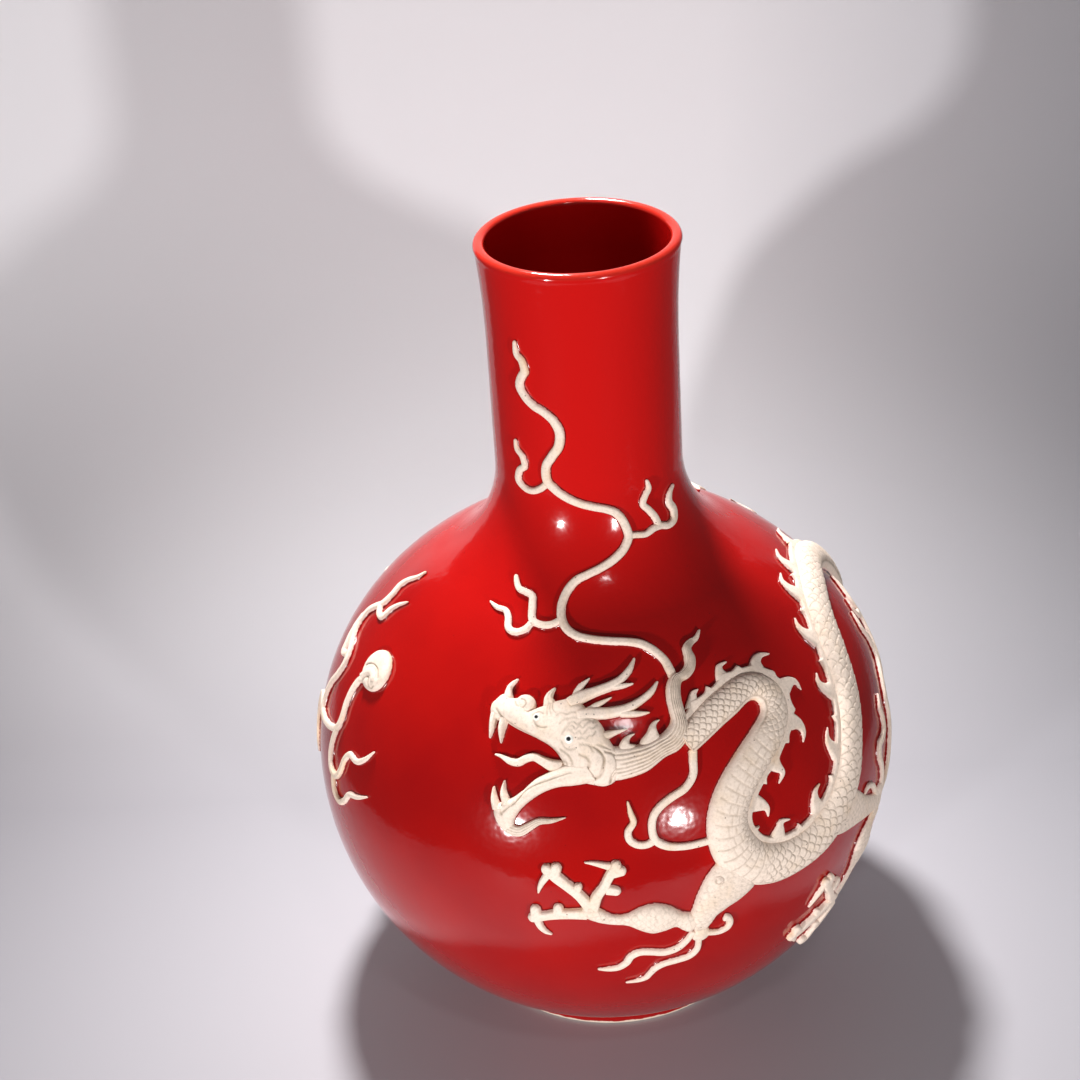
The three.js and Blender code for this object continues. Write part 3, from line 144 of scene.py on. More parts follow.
def tangent_angle():
    """Where the shoulder's fillet leaves the globe."""
    low, high = 0.0, math.pi / 2
    for _ in range(60):
        mid = (low + high) / 2
        across, up = math.cos(mid) / GLOBE_RADIUS, math.sin(mid) / SHOULDER_RISE
        radius = GLOBE_RADIUS * math.cos(mid) + SHOULDER_FILLET * across / math.hypot(across, up)
        if radius > NECK_RADIUS + SHOULDER_FILLET:
            low = mid
        else:
            high = mid
    return (low + high) / 2


def outer_outline():
    """The outside of the wall from the foot joint up to the lip, as radius and height."""
    points = []
    start = -math.acos(BOWL_FOOT_RADIUS / GLOBE_RADIUS)
    bowl_drop = -(GIRTH_HEIGHT - FOOT_HEIGHT) / math.sin(start)
    leave = tangent_angle()
    for i in range(OUTLINE_STEPS + 1):
        angle = start + (leave - start) * i / OUTLINE_STEPS
        drop = SHOULDER_RISE if angle > 0 else bowl_drop
        points.append((GLOBE_RADIUS * math.cos(angle), GIRTH_HEIGHT + drop * math.sin(angle)))
    across, up = math.cos(leave) / GLOBE_RADIUS, math.sin(leave) / SHOULDER_RISE
    centre_radius = NECK_RADIUS + SHOULDER_FILLET
    centre_height = GIRTH_HEIGHT + SHOULDER_RISE * math.sin(leave)
    centre_height += SHOULDER_FILLET * up / math.hypot(across, up)
    first = math.pi + math.atan2(up, across)
    for i in range(1, OUTLINE_STEPS + 1):
        angle = first + (math.pi - first) * i / OUTLINE_STEPS
        radius = centre_radius + SHOULDER_FILLET * math.cos(angle)
        points.append((radius, centre_height + SHOULDER_FILLET * math.sin(angle)))
    for i in range(1, OUTLINE_STEPS + 1):
        share = i / OUTLINE_STEPS
        flare = max(0.0, (share - FLARE_START) / (1 - FLARE_START)) ** FLARE_POWER
        height = centre_height + (TOTAL_HEIGHT - centre_height) * share
        points.append((NECK_RADIUS + (LIP_RADIUS - NECK_RADIUS) * flare, height))
    return np.array(points)


OUTLINE = outer_outline()
STEPS = np.hypot(*np.diff(OUTLINE, axis=0).T)
RUN = np.concatenate([[0.0], np.cumsum(STEPS)])
SLOPE = np.gradient(OUTLINE, RUN, axis=0)
SLOPE /= np.hypot(SLOPE[:, 0], SLOPE[:, 1])[:, None]
GIRTH_RUN = RUN[np.argmax(OUTLINE[:, 1] >= GIRTH_HEIGHT)]
CLIMB_UP = (RUN[-1] - GIRTH_RUN) / LIP_ANGLE
CLIMB_DOWN = GIRTH_RUN / FOOT_ANGLE


def climb_scale(climb):
    return np.where(np.asarray(climb) > 0, CLIMB_UP, CLIMB_DOWN)


def wall_at(climb):
    """Radius, height and outward direction of the wall at a climb."""
    run = GIRTH_RUN + np.asarray(climb) * climb_scale(climb)
    radius, height = np.interp(run, RUN, OUTLINE[:, 0]), np.interp(run, RUN, OUTLINE[:, 1])
    return radius, height, np.interp(run, RUN, SLOPE[:, 1]), -np.interp(run, RUN, SLOPE[:, 0])


def turn_scale(climb):
    return wall_at(climb)[0] * math.pi / 180


def on_wall(azimuth, climb, lift):
    """Points in metres, lifted off the wall."""
    radius, height, out, up = wall_at(climb)
    reach = radius + out * lift
    angle = np.radians(azimuth)
    return np.stack([reach * np.sin(angle), -reach * np.cos(angle), height + up * lift], -1) * MM


def shifted(azimuth, climb, east, north):
    return azimuth + east / turn_scale(climb), climb + north / climb_scale(climb)


# Routes on the wall: rows of azimuth, climb and width share
def sampled(route, count):
    """A smooth curve through the rows, as count + 1 places."""
    rows = np.array(route, float)
    last = len(rows) - 1
    rows = np.vstack([2 * rows[0] - rows[1], rows, 2 * rows[-1] - rows[-2]])
    found = []
    for i in range(count + 1):
        place = last * i / count
        at = min(int(place), last - 1)
        share = place - at
        p0, p1, p2, p3 = rows[at:at + 4]
        gaps = [max(1e-4, float(((b - a) ** 2).sum()) ** 0.25) for a, b in ((p0, p1), (p1, p2), (p2, p3))]
        t1 = ((p1 - p0) / gaps[0] - (p2 - p0) / (gaps[0] + gaps[1]) + (p2 - p1) / gaps[1]) * gaps[1]
        t2 = ((p2 - p1) / gaps[1] - (p3 - p1) / (gaps[1] + gaps[2]) + (p3 - p2) / gaps[2]) * gaps[1]
        square, cube = share * share, share ** 3
        near = p1 + t1 * share + (3 * (p2 - p1) - 2 * t1 - t2) * square
        found.append(near + (2 * (p1 - p2) + t1 + t2) * cube)
    return np.array(found)


def measured(rows):
    """The distance along the wall at each row."""
    mid = (rows[1:, 1] + rows[:-1, 1]) / 2
    steps = np.hypot(np.diff(rows[:, 0]) * turn_scale(mid), np.diff(rows[:, 1]) * climb_scale(mid))
    return np.concatenate([[0.0], np.cumsum(steps)])


def places(fine, run, wanted):
    return np.stack([np.interp(wanted, run, fine[:, k]) for k in range(fine.shape[1])], -1)


def headings(fine, run, wanted, reach):
    """The direction of the route at each wanted distance, east and north, over a reach to both sides."""
    back = places(fine, run, np.clip(wanted - reach, 0, run[-1]))
    ahead = places(fine, run, np.clip(wanted + reach, 0, run[-1]))
    climb = places(fine, run, wanted)[:, 1]
    east = (ahead[:, 0] - back[:, 0]) * turn_scale(climb)
    north = (ahead[:, 1] - back[:, 1]) * climb_scale(climb)
    length = np.hypot(east, north)
    return east / length, north / length


# Closed skins of clay
def placed(name, data):
    """An object with this data, in the scene."""
    thing = bpy.data.objects.new(name, data)
    bpy.context.scene.collection.objects.link(thing)
    return thing


def meshed(name, bm):
    """A smooth piece from a bmesh, which is freed."""
    for face in bm.faces:
        face.smooth = True
    mesh = bpy.data.meshes.new(name)
    bm.to_mesh(mesh)
    bm.free()
    return placed(name, mesh)
def clay_skin(name, azimuth, climb, lift, cut):
    """A closed skin from a grid: its rows run along the piece, and its columns round the top of it.

    The grid's last column is merged with its first, under the wall, and the two ends are filled.
    """
    rows, cols = azimuth.shape
    bm = bmesh.new()
    bmesh.ops.create_grid(bm, x_segments=cols, y_segments=rows - 1, size=1)
    mesh = bpy.data.meshes.new(name)
    bm.to_mesh(mesh)
    bm.clear()
    flat = np.empty(len(mesh.vertices) * 3)
    mesh.vertices.foreach_get("co", flat)
    flat = flat.reshape(-1, 3)
    col = np.rint((flat[:, 0] + 1) / 2 * cols).astype(int) % cols
    row = np.rint((flat[:, 1] + 1) / 2 * (rows - 1)).astype(int)
    spots = on_wall(azimuth, climb, lift)[row, col]
    mesh.vertices.foreach_set("co", spots.ravel())
    # The cut, where lines are carved, also sets the painted shade in them; the rise sets colours by height
    for key, values in (("cut", cut), ("rise", lift)):
        layer = mesh.attributes.new(key, "FLOAT", "POINT")
        layer.data.foreach_set("value", np.ascontiguousarray(values[row, col], dtype=np.float32))
    bm.from_mesh(mesh)
    bmesh.ops.remove_doubles(bm, verts=bm.verts, dist=1e-6)
    for face in bm.faces:
        face.smooth = True
    ends = [edge for edge in bm.edges if edge.is_boundary]
    if ends:
        caps = bmesh.ops.holes_fill(bm, edges=ends, sides=0)["faces"]
        for face in caps:
            face.smooth = False
        for edge in ends:
            edge.smooth = False
    bmesh.ops.recalc_face_normals(bm, faces=bm.faces)
    bm.to_mesh(mesh)
    bm.free()
    return placed(name, mesh)


def joined(name, parts):
    """One piece from its parts, at the origin."""
    bpy.ops.object.select_all(action="DESELECT")
    for part in parts:
        part.select_set(True)
    bpy.context.view_layer.objects.active = parts[0]
    if len(parts) > 1:
        bpy.ops.object.join()
    parts[0].name = name
    parts[0].data.name = name
    return parts[0]


def rounded_top(share, power):
    return np.sqrt(np.clip(1 - np.abs(share) ** power, 0, 1))


def cross_section(half, top, cols, power):
    """Places across a piece and their lifts: the glaze's rim, the clay's rounded top, and the rim again."""
    share = -np.cos(np.pi * np.arange(cols) / (cols - 1))[None, :] + half * 0
    pool = POOL_WIDTH * np.minimum(1, half / 1.5)
    low, mid, foot = POOL_LIFTS
    clay = foot + (top - foot) * rounded_top(share, power)
    side = half * 0
    aside = np.hstack([-half - pool, -half - pool * 0.4, share * half, half + pool * 0.4, half + pool])
    lift = np.hstack([side + low, side + mid, clay, side + mid, side + low])
    return aside, lift, np.hstack([side - 1, side - 1, share, side + 1, side + 1])


def beside(rows, east, north, aside):
    """Places beside the rows of a route, to the right of its direction."""
    return shifted(rows[:, :1], rows[:, 1:2], north[:, None] * aside, -east[:, None] * aside)


def rounded_ends(wanted, last, ends, least):
    """The share of a piece's full size at each place, as its start and its tip round off."""
    full = np.ones(len(wanted))
    for length, reach in ((ends[0], wanted), (ends[1], last - wanted)):
        if length:
            near = np.clip(reach / length, 0, 1)
            full *= np.sqrt(np.clip(1 - (1 - near) ** 2, least, 1))
    return full


def smooth_step(low, high, value):
    share = np.clip((value - low) / (high - low), 0, 1)
    return share * share * (3 - 2 * share)


def taper(share, least=0.35):
    return least + (1 - least) * np.minimum(1, share)


def clay_strip(name, route, width, height, cols=15, step=0.7, power=3.6, ends=(0.0, 1.2),
               grooves=None, root=None):
    """A rounded strip laid along a route. Ends gives how long the rounding of its start and its tip is.

    Root gives the length over which a strip that grows out of a higher piece comes down, and by how much.
    """
    fine = sampled(route, len(route) * 12)
    run = measured(fine)
    count = max(4, int(run[-1] / step))
    wanted = np.linspace(0, run[-1], count + 1)
    if ends[1]:
        tail = run[-1] - ends[1] * (1 - np.sin(np.linspace(0, 0.97, 7) * np.pi / 2))
        wanted = np.concatenate([wanted[wanted < tail[0] - step * 0.4], tail])
    if ends[0]:
        head = ends[0] * (1 - np.cos(np.linspace(0.03, 1, 7) * np.pi / 2))
        wanted = np.concatenate([head, wanted[wanted > head[-1] + step * 0.4]])
    rows = places(fine, run, wanted)
    east, north = headings(fine, run, wanted, max(1.2, width * 0.3))
    full = rounded_ends(wanted, run[-1], ends, 0.02)
    half = (rows[:, 2] * width / 2 * full)[:, None]
    top = (CLAY_BED + height * taper(rows[:, 2]) * (0.35 + 0.65 * full))[:, None]
    if root:
        top = top + root[1] * (1 - smooth_step(0, root[0], wanted))[:, None]
    aside, lift, share = cross_section(half, top, cols, power)
    azimuth, climb = beside(rows, east, north, aside)
    cut = np.zeros_like(lift)
    if grooves:
        cut = grooves(wanted[:, None] + share * 0, share, half + share * 0)
        lift = lift - cut * GROOVE_DEPTH * rounded_top(share, power)
    return clay_skin(name, azimuth, climb, lift, cut)


def clay_dome(name, azimuth, climb, radius, height, sides, levels, squash, lines=()):
    """A low dome on the wall, as rings from its middle to its edge, with lines carved in it."""
    out = np.sin(np.linspace(0, 1, levels) * np.pi / 2)
    low, mid, foot = POOL_LIFTS
    lift = foot + (height + CLAY_BED - foot) * rounded_top(out, squash)
    reach = np.concatenate([radius * out, [radius + POOL_WIDTH * 0.4, radius + POOL_WIDTH]])[:, None]
    angle = (np.arange(sides) / sides * 2 * np.pi)[None, :]
    lift = np.concatenate([lift, [mid, low]])[:, None] + angle * 0
    spots = shifted(azimuth, climb, reach * np.cos(angle), reach * np.sin(angle))
    cut = np.zeros_like(lift)
    if lines:
        lift, cut = carved(*spots, lift, cut, lines, 0.42, 0.6, 0.9)
    return clay_skin(name, *spots, lift, cut)


# Carving: lines cut in the clay along routes on the wall, and soft swellings
def nearest_line(azimuth, climb, lines):
    """The distance in millimetres to the nearest of the lines, and the share of the way along it."""
    east, north = azimuth * turn_scale(climb), climb * climb_scale(climb)
    best = np.full(azimuth.shape, 99.0)
    for line in lines:
        curve = sampled([(*spot, 1) for spot in line], len(line) * 5)
        for a, b in zip(curve[:-1], curve[1:]):
            scale = turn_scale(climb)
            ax, ay = a[0] * scale - east, a[1] * climb_scale(climb) - north
            bx, by = (b[0] - a[0]) * scale, (b[1] - a[1]) * climb_scale(climb)
            along = np.clip(-(ax * bx + ay * by) / (bx * bx + by * by + 1e-9), 0, 1)
            best = np.minimum(best, np.hypot(ax + bx * along, ay + by * along))
    return best


def firmness(lift):
    """How much of the carving a place takes: none at the glaze's rim, and all of it up on the clay."""
    return np.clip((lift - POOL_LIFTS[2]) / FIRM_RISE, 0, 1)


def carved(azimuth, climb, lift, cut, lines, width, depth, shade=1.0):
    """The lift with the lines pressed in, and the cut with them added."""
    near = np.exp(-(nearest_line(azimuth, climb, lines) / width) ** 2)
    return lift - near * depth * firmness(lift), np.maximum(cut, near * shade)


def swelled(azimuth, climb, lift, swellings):
    """The lift with soft swellings, each given by its azimuth, climb, radius and height."""
    for east, north, radius, height in swellings:
        across = (azimuth - east) * turn_scale(climb)
        up = (climb - north) * climb_scale(climb)
        lift = lift + height * np.exp(-(across ** 2 + up ** 2) / radius ** 2) * firmness(lift)
    return lift


def clay_span(name, rows, height, step=0.45, cols=64, power=2.8, ends=(1.0, 1.0), carve=None):
    """A broad piece given by its two edges.

    Each row holds the upper azimuth and climb, the lower azimuth and climb, and the share of the height.
    """
    fine = np.array(rows, float)
    first = sampled(np.column_stack([fine[:, 0], fine[:, 1], fine[:, 4]]), len(rows) * 12)
    second = sampled(np.column_stack([fine[:, 2], fine[:, 3], fine[:, 4]]), len(rows) * 12)
    middle = (first + second) / 2
    run = measured(middle)
    wanted = np.linspace(0, run[-1], max(6, int(run[-1] / step)) + 1)
    upper, lower = places(first, run, wanted), places(second, run, wanted)
    full = rounded_ends(wanted, run[-1], ends, 0.0)
    centre = (upper + lower) / 2
    half = np.hypot((upper[:, :1] - lower[:, :1]) * turn_scale(centre[:, 1:2]),
                    (upper[:, 1:2] - lower[:, 1:2]) * climb_scale(centre[:, 1:2])) / 2
    top = CLAY_BED + height * upper[:, 2:3] * (0.3 + 0.7 * full[:, None])
    aside, lift, share = cross_section(half, top, cols, power)
    mix = (aside / half + 1) / 2
    azimuth = upper[:, :1] * (1 - mix) + lower[:, :1] * mix
    climb = upper[:, 1:2] * (1 - mix) + lower[:, 1:2] * mix
    cut = np.zeros_like(lift)
    if carve:
        lift, cut = carve(azimuth, climb, lift, cut, wanted[:, None] + share * 0, share + lift * 0)
    return clay_skin(name, azimuth, climb, lift, cut)


# Dragon's trunk, from behind the head to the tail's tip: azimuth, climb, share of the trunk's width
TRUNK = [
    (17.4, 29.2, 0.74), (22.2, 31.3, 0.77), (26.1, 32.9, 0.81), (30.1, 34, 0.8), (33.9, 34.9, 0.75),
    (37, 34.9, 0.73), (39.6, 33.8, 0.76), (41, 31.7, 0.81), (40.5, 29.2, 0.82), (38.8, 27.2, 0.85),
    (35.6, 25.2, 0.93), (30.4, 22.2, 0.98), (25.5, 18.2, 1.06), (23.1, 14.2, 1.14), (22.8, 10.6, 1.2),
    (23.9, 7.2, 1.27), (26.6, 3.9, 1.26), (31.4, 1.7, 1.22), (37, 1.4, 1.15), (42.4, 2.4, 1.15),
    (48.4, 5.6, 1.08), (53, 9.8, 1), (56.7, 14.9, 0.96), (62, 22.4, 0.98), (66.4, 29.3, 1), (71.8, 34.9, 1),
    (78, 37.8, 1), (85, 39.1, 1), (92.5, 39.4, 1), (99.5, 37.6, 1), (106, 33.6, 1), (111.2, 27.6, 1.02),
    (115, 20.4, 1.06), (119.2, 12.9, 1.1), (125.2, 6.7, 1.12), (133, 3.4, 1.1), (141.2, 3.9, 1.05),
    (148.2, 8.6, 1), (153.6, 15.6, 0.96), (159, 23, 0.93), (166, 29.4, 0.9), (174.6, 32, 0.88),
    (182.8, 28.8, 0.85), (188, 21.6, 0.83), (192.2, 13.6, 0.83), (198.2, 6.8, 0.84), (205.4, 3.8, 0.82),
    (211.6, 6.2, 0.74), (216.2, 11.2, 0.66), (220, 16.6, 0.58), (224.6, 20.8, 0.48), (230, 22.6, 0.38),
    (235.4, 21.6, 0.26),
]
FINE = 12
TRUNK_FINE = sampled(TRUNK, (len(TRUNK) - 1) * FINE)
TRUNK_RUN = measured(TRUNK_FINE)
# The trunk's lengths, as rows of the table that they start and end at
STRETCHES = {
    "neck": (0, 11), "loop": (11, 18), "rising": (18, 28),
    "falling": (28, 36), "back": (36, 45), "tail": (45, 52),
}
BELLY_EDGE = 0.76


def trunk_rows(wanted):
    east, north = headings(TRUNK_FINE, TRUNK_RUN, wanted, TRUNK_WIDTH / 4)
    return places(TRUNK_FINE, TRUNK_RUN, wanted), east, north


def scale_size(along):
    grown = smooth_step(TRUNK_RUN[14 * FINE], TRUNK_RUN[19 * FINE], along)
    return SMALL_SCALE + (LARGE_SCALE - SMALL_SCALE) * grown


# Rows of scales counted along the trunk, at each of its fine places
ROW_STEPS = np.diff(TRUNK_RUN) / (scale_size(TRUNK_RUN[1:]) * SCALE_ROW_SHARE)
SCALE_ROWS = np.concatenate([[0.0], np.cumsum(ROW_STEPS)])


def scale_work(place, aside, width):
    """Fish scales with their free edges towards the tail: the height they add, and the cut round them.

    The place counts rows of scales along the piece, and each row sits half a scale aside from the last.
    """
    spread = width * SCALE_SPREAD
    fine = 0.36 / width
    first = np.floor(place)
    lift = np.zeros_like(place)
    cut = np.zeros_like(place)
    for back in (1, 0, -1, -2):
        row = first + back
        offset = np.where(np.mod(row, 2) > 0.5, width / 2, 0.0)
        column = np.rint((aside - offset) / width)
        wave = 0.2 * np.sin(row * 2.3 + column * 1.7) + 0.14 * np.sin(row * 5.1 + column * 2.9)
        ahead = (place - row - wave) / SCALE_OVERLAP
        side = (aside - column * width - offset) / spread
        edge = np.sqrt(np.maximum(ahead, 0) ** 2 + side ** 2)
        inside = edge < 1
        lift = np.where(inside, np.clip(ahead, 0, 1) ** 1.5 * 0.95 - 0.25 * side ** 2, lift)
        near = np.exp(-((1 - edge) / fine) ** 2) * np.clip(ahead * 3 + 0.35, 0, 1)
        outside = np.exp(-((edge - 1) / (fine * 1.2)) ** 2) * (ahead > -0.1)
        cut = np.where(inside, near * 0.5, np.maximum(cut * 0.9, outside))
    return lift, np.clip(cut, 0, 1)


def plate_work(along, aside):
    """Belly plates: lines across the belly, with short cuts that part them like bricks."""
    bend = along + 0.05 * aside ** 2 / 3
    place = bend / PLATE_PITCH
    line = np.abs(place - np.rint(place)) * PLATE_PITCH
    cut = np.exp(-(line / 0.42) ** 2)
    row = np.floor(place)
    brick = (aside + np.where(np.mod(row, 2) > 0.5, BRICK / 2, 0)) / BRICK
    side = np.abs(brick - np.rint(brick)) * BRICK
    bricks = np.exp(-(side / 0.36) ** 2) * smooth_step(4.5, 1.5, aside)
    return np.mod(place, 1) * 0.5, np.maximum(cut, bricks * 0.7) * 0.65


def trunk_stretch(name):
    """A length of the trunk with its scales, belly band and plates carved."""
    first, last = STRETCHES[name]
    start = TRUNK_RUN[first * FINE] + (JOINT if first else 0)
    end = TRUNK_RUN[min(last * FINE, len(TRUNK_RUN) - 1)] - JOINT
    wanted = np.linspace(start, end, int((end - start) / 0.42) + 1)
    rows, east, north = trunk_rows(wanted)
    half = (rows[:, 2] * TRUNK_WIDTH / 2)[:, None]
    top = (CLAY_BED + TRUNK_HEIGHT * taper(rows[:, 2]))[:, None]
    aside, lift, share = cross_section(half, top, 81, TRUNK_ROUNDING)
    azimuth, climb = beside(rows, east, north, aside)
    shape = rounded_top(share, TRUNK_ROUNDING)
    along = wanted[:, None] + share * 0
    raised, cut = scale_work(np.interp(along, TRUNK_RUN, SCALE_ROWS), aside, scale_size(along))
    plates, lines = plate_work(along, aside)
    loop_low, loop_high = TRUNK_RUN[10 * FINE], TRUNK_RUN[17 * FINE]
    belly = smooth_step(-0.62, -0.34, share) * smooth_step(loop_low - 6, loop_low + 8, along)
    belly = belly * (1 - smooth_step(loop_high - 14, loop_high, along))
    raised = raised * (1 - belly) + plates * belly
    cut = cut * (1 - belly) + lines * belly
    fade = (1 - smooth_step(BELLY_EDGE - 0.03, BELLY_EDGE + 0.02, share)) * smooth_step(-0.99, -0.9, share)
    small = np.clip(rows[:, 2:3] / 0.6, 0.25, 1)
    raised, cut = raised * fade, cut * fade
    groove = np.exp(-(np.abs(share - BELLY_EDGE) * half / 0.45) ** 2) * (1 - belly) * small
    lift = lift + (SCALE_LIFT * raised - SCALE_CUT * cut) * shape * small - 0.3 * groove * shape
    return joined(f"{name}_trunk", [clay_skin(name, azimuth, climb, lift, np.maximum(cut, groove * 0.8))])


# Crest: a flat band along the trunk, with curled spikes: root, two bends and tip, as azimuth and climb
SPIKES = [
    (22, 34.7, 22.1, 36.1, 22.9, 37.3, 24.4, 37.8), (31.8, 37.7, 31.7, 39.2, 32.4, 40.4, 35, 40.7),
    (42, 37.1, 42.9, 38.3, 45, 38.8, 47.9, 38.1), (46.3, 31.6, 48.3, 31.7, 49.8, 31.1, 50.1, 29.2),
    (43.4, 25.3, 45, 24.2, 45.3, 22.5, 44.2, 20.9), (35.2, 20.4, 36.2, 19.2, 36.9, 17.8, 35.4, 16.3),
    (29.2, 14.5, 30.8, 13.7, 31.6, 12.7, 31.5, 11.2), (32.8, 6.4, 33.6, 8.1, 34.3, 9.1, 36.3, 8.8),
    (43, 7.9, 43.1, 9.7, 43.6, 11.2, 45.2, 12.1), (52.2, 15.3, 51, 17.3, 51, 18.8, 52.2, 20.4),
    (58.2, 24.9, 56.8, 26.5, 56.2, 28.2, 57.3, 29.7), (63.8, 34.6, 62.8, 36.6, 62.8, 38.2, 64.2, 39.7),
    (73.4, 41.5, 73.3, 43.6, 74.2, 45.2, 77.6, 46.1), (84.6, 43.6, 85.2, 45.4, 86.6, 46.7, 90.6, 47.2),
]
# Width shares of a spike from its root to its tip, and the same curl ahead and aside in shares of the trunk
SPIKE_SHARES = (1.25, 0.66, 0.36, 0.07)
CURL = [(0, 0.62), (0.12, 0.86), (0.34, 1.06), (0.82, 1.12)]
BACK_SPIKE_PITCH = 35
CREST_ROOT_SHARE = 0.35
# How far the sheet stands out more at a spike's root and at a cusp, and over what length to each side
ROOT_REACH = 2.4
ROOT_SPREAD = 3.1
CUSP_REACH = 2.1
CUSP_SLOPES = (3.4, 1.3)
# Small cusps of the crest between the spikes
CUSPS = [
    (26.6, 37.6), (36.8, 39.2), (46.5, 35.3), (45, 27), (40.3, 22.2), (32.3, 17.6), (29.3, 10.3), (38, 7),
    (48, 12.2), (54.7, 21), (60.2, 30.9), (68.2, 39.3), (80.3, 43.9),
]


def nearest_on_trunk(azimuth, climb):
    across = (TRUNK_FINE[:, 0] - azimuth) * turn_scale(climb)
    up = (TRUNK_FINE[:, 1] - climb) * climb_scale(climb)
    return TRUNK_RUN[np.argmin(np.hypot(across, up))]


def trunk_place(distance):
    rows, east, north = trunk_rows(np.array([distance]))
    return rows[0], float(east[0]), float(north[0])


def back_spikes():
    """The same curl in the trunk's own directions, for the spikes round the back."""
    found = []
    distance = TRUNK_RUN[28 * FINE] + BACK_SPIKE_PITCH * 0.4
    while distance < TRUNK_RUN[51 * FINE]:
        near, east, north = trunk_place(distance)
        size = TRUNK_WIDTH * min(1, near[2] * 1.1)
        edge = TRUNK_WIDTH * near[2] / 2 - size * 0.5
        spike = []
        for ahead, aside in CURL:
            side = edge + aside * size
            shift = (east * ahead * size - north * side, north * ahead * size + east * side)
            spike += [float(value) for value in shifted(near[0], near[1], *shift)]
        found.append(tuple(spike))
        distance += BACK_SPIKE_PITCH
    return found


ALL_SPIKES = SPIKES + back_spikes()


def crest_spot(distance, aside):
    near, east, north = trunk_place(distance)
    out = near[2] * TRUNK_WIDTH / 2 + aside
    return shifted(near[0], near[1], -north * out, east * out)


def spike_route(spike):
    root = crest_spot(nearest_on_trunk(spike[0], spike[1]), CREST_WIDTH * CREST_ROOT_SHARE + PIECE_GAP)
    bends = zip(spike[2::2], spike[3::2], SPIKE_SHARES[1:])
    return [(*root, SPIKE_SHARES[0]), *bends]


def crest_reach(along):
    """How far the crest's sheet stands out from the trunk: more at each spike's root, and at the cusps."""
    reach = np.full_like(along, CREST_WIDTH)
    for spike in ALL_SPIKES:
        apart = np.abs(along - nearest_on_trunk(spike[0], spike[1]))
        reach += ROOT_REACH * np.exp(-(apart / ROOT_SPREAD) ** 1.5)
    for azimuth, climb in CUSPS:
        apart = along - nearest_on_trunk(azimuth, climb)
        near = 1 - np.where(apart < 0, -apart / CUSP_SLOPES[0], apart / CUSP_SLOPES[1])
        reach += CUSP_REACH * np.clip(near, 0, 1) ** 1.7
    return reach


def crest(name):
    """A flat sheet along the trunk, with its curled spikes and small cusps cut in one."""
    first, last = STRETCHES[name]
    low, high = TRUNK_RUN[first * FINE], TRUNK_RUN[min(last * FINE, len(TRUNK_RUN) - 1)]
    start, end = low + (JOINT if first else 0), high - JOINT
    wanted = np.linspace(start, end, int((end - start) / 0.5) + 1)
    rows, east, north = trunk_rows(wanted)
    reach = crest_reach(wanted) * np.clip(rows[:, 2] / 0.7, 0.5, 1)
    half = ((reach + CREST_TUCK) / 2)[:, None]
    mid = (rows[:, 2] * TRUNK_WIDTH / 2 + (reach - CREST_TUCK) / 2)[:, None]
    aside, lift, share = cross_section(half, half * 0 + CLAY_BED + CREST_HEIGHT, 17, 6)
    azimuth, climb = beside(rows, east, north, -mid - aside)
    parts = [clay_skin("sheet", azimuth, climb, lift, np.zeros_like(lift))]
    for spike in ALL_SPIKES:
        if low < nearest_on_trunk(spike[0], spike[1]) <= high:
            parts.append(clay_strip("spike", spike_route(spike), SPIKE_WIDTH, CREST_HEIGHT, **SPIKE_FORM))
    return joined(f"{name}_spikes", parts)


# Legs, drawn once round the elbow of the foreleg in front
ELBOW = (16, -7)
FOREARM = [
    (15.4, -6.8, 0.66), (13.6, -5.6, 0.6), (12, -4.7, 0.52), (9.8, -4, 0.84), (7.4, -3.6, 1),
    (5, -3.3, 0.78), (2.5, -3.2, 0.38), (0, -3, 0.32), (-2.3, -2.1, 0.42), (-4.2, -0.8, 0.5),
    (-5, 0.5, 0.4),
]
TOES = [
    [(-3.6, -0.6, 1.3), (-5.8, 2.6, 1), (-7.8, 4.6, 1), (-9.6, 6.2, 1.1), (-11.2, 7.6, 0.9)],
    [(-3.8, -0.6, 1.3), (-2.6, 2.5, 1), (-1.2, 4.5, 0.9), (-0.3, 6.2, 0.9), (0.8, 7.9, 1.1)],
    [(-4.5, -1.4, 1.2), (-7.5, -1.5, 1), (-10, -1.7, 1), (-12.3, -2.3, 0.9), (-14.3, -2.7, 1.2)],
]
CLAWS = [
    [(-10.8, 7.2, 1.2), (-12.2, 5.4, 1), (-13, 3.9, 0.7), (-13.4, 2.5, 0.2)],
    [(0.5, 8.3, 1.2), (-1.3, 8.8, 0.9), (-3, 9.2, 0.6), (-4.4, 9.3, 0.2)],
    [(-14, -3.2, 1.2), (-13.4, -5, 1), (-12.4, -6.3, 0.7), (-11.2, -7, 0.2)],
]
SHOULDER_BOSS = (19.6, 2.7)
BOSS_LINES = [
    [(18.4, 3.6), (18.1, 2.8), (18.8, 2.1), (19.8, 2.1), (20.3, 2.8)],
    [(18.9, 3.3), (18.8, 2.8), (19.3, 2.5), (19.8, 2.7)],
]
TOE_PADS = [
    [(-6.6, 3.4, 1), (-5.5, 5.1, 0.7)], [(-10.2, 6.6, 1.2), (-9.2, 9.1, 0.9)],
    [(-10.8, 7.2, 1.1), (-12, 8.5, 0.9)], [(-1, 3.9, 1), (1.7, 3.2, 0.8)], [(0.2, 7.2, 1.1), (3, 7.6, 0.9)],
    [(0.6, 7.4, 1.1), (1.7, 9.5, 0.9)], [(-9.9, -1.4, 1.1), (-9.8, 0.6, 0.8)],
    [(-14, -2.4, 1.1), (-14.2, -0.1, 0.9)], [(-13.6, -2.7, 1.1), (-15.6, -3.2, 0.8)],
]
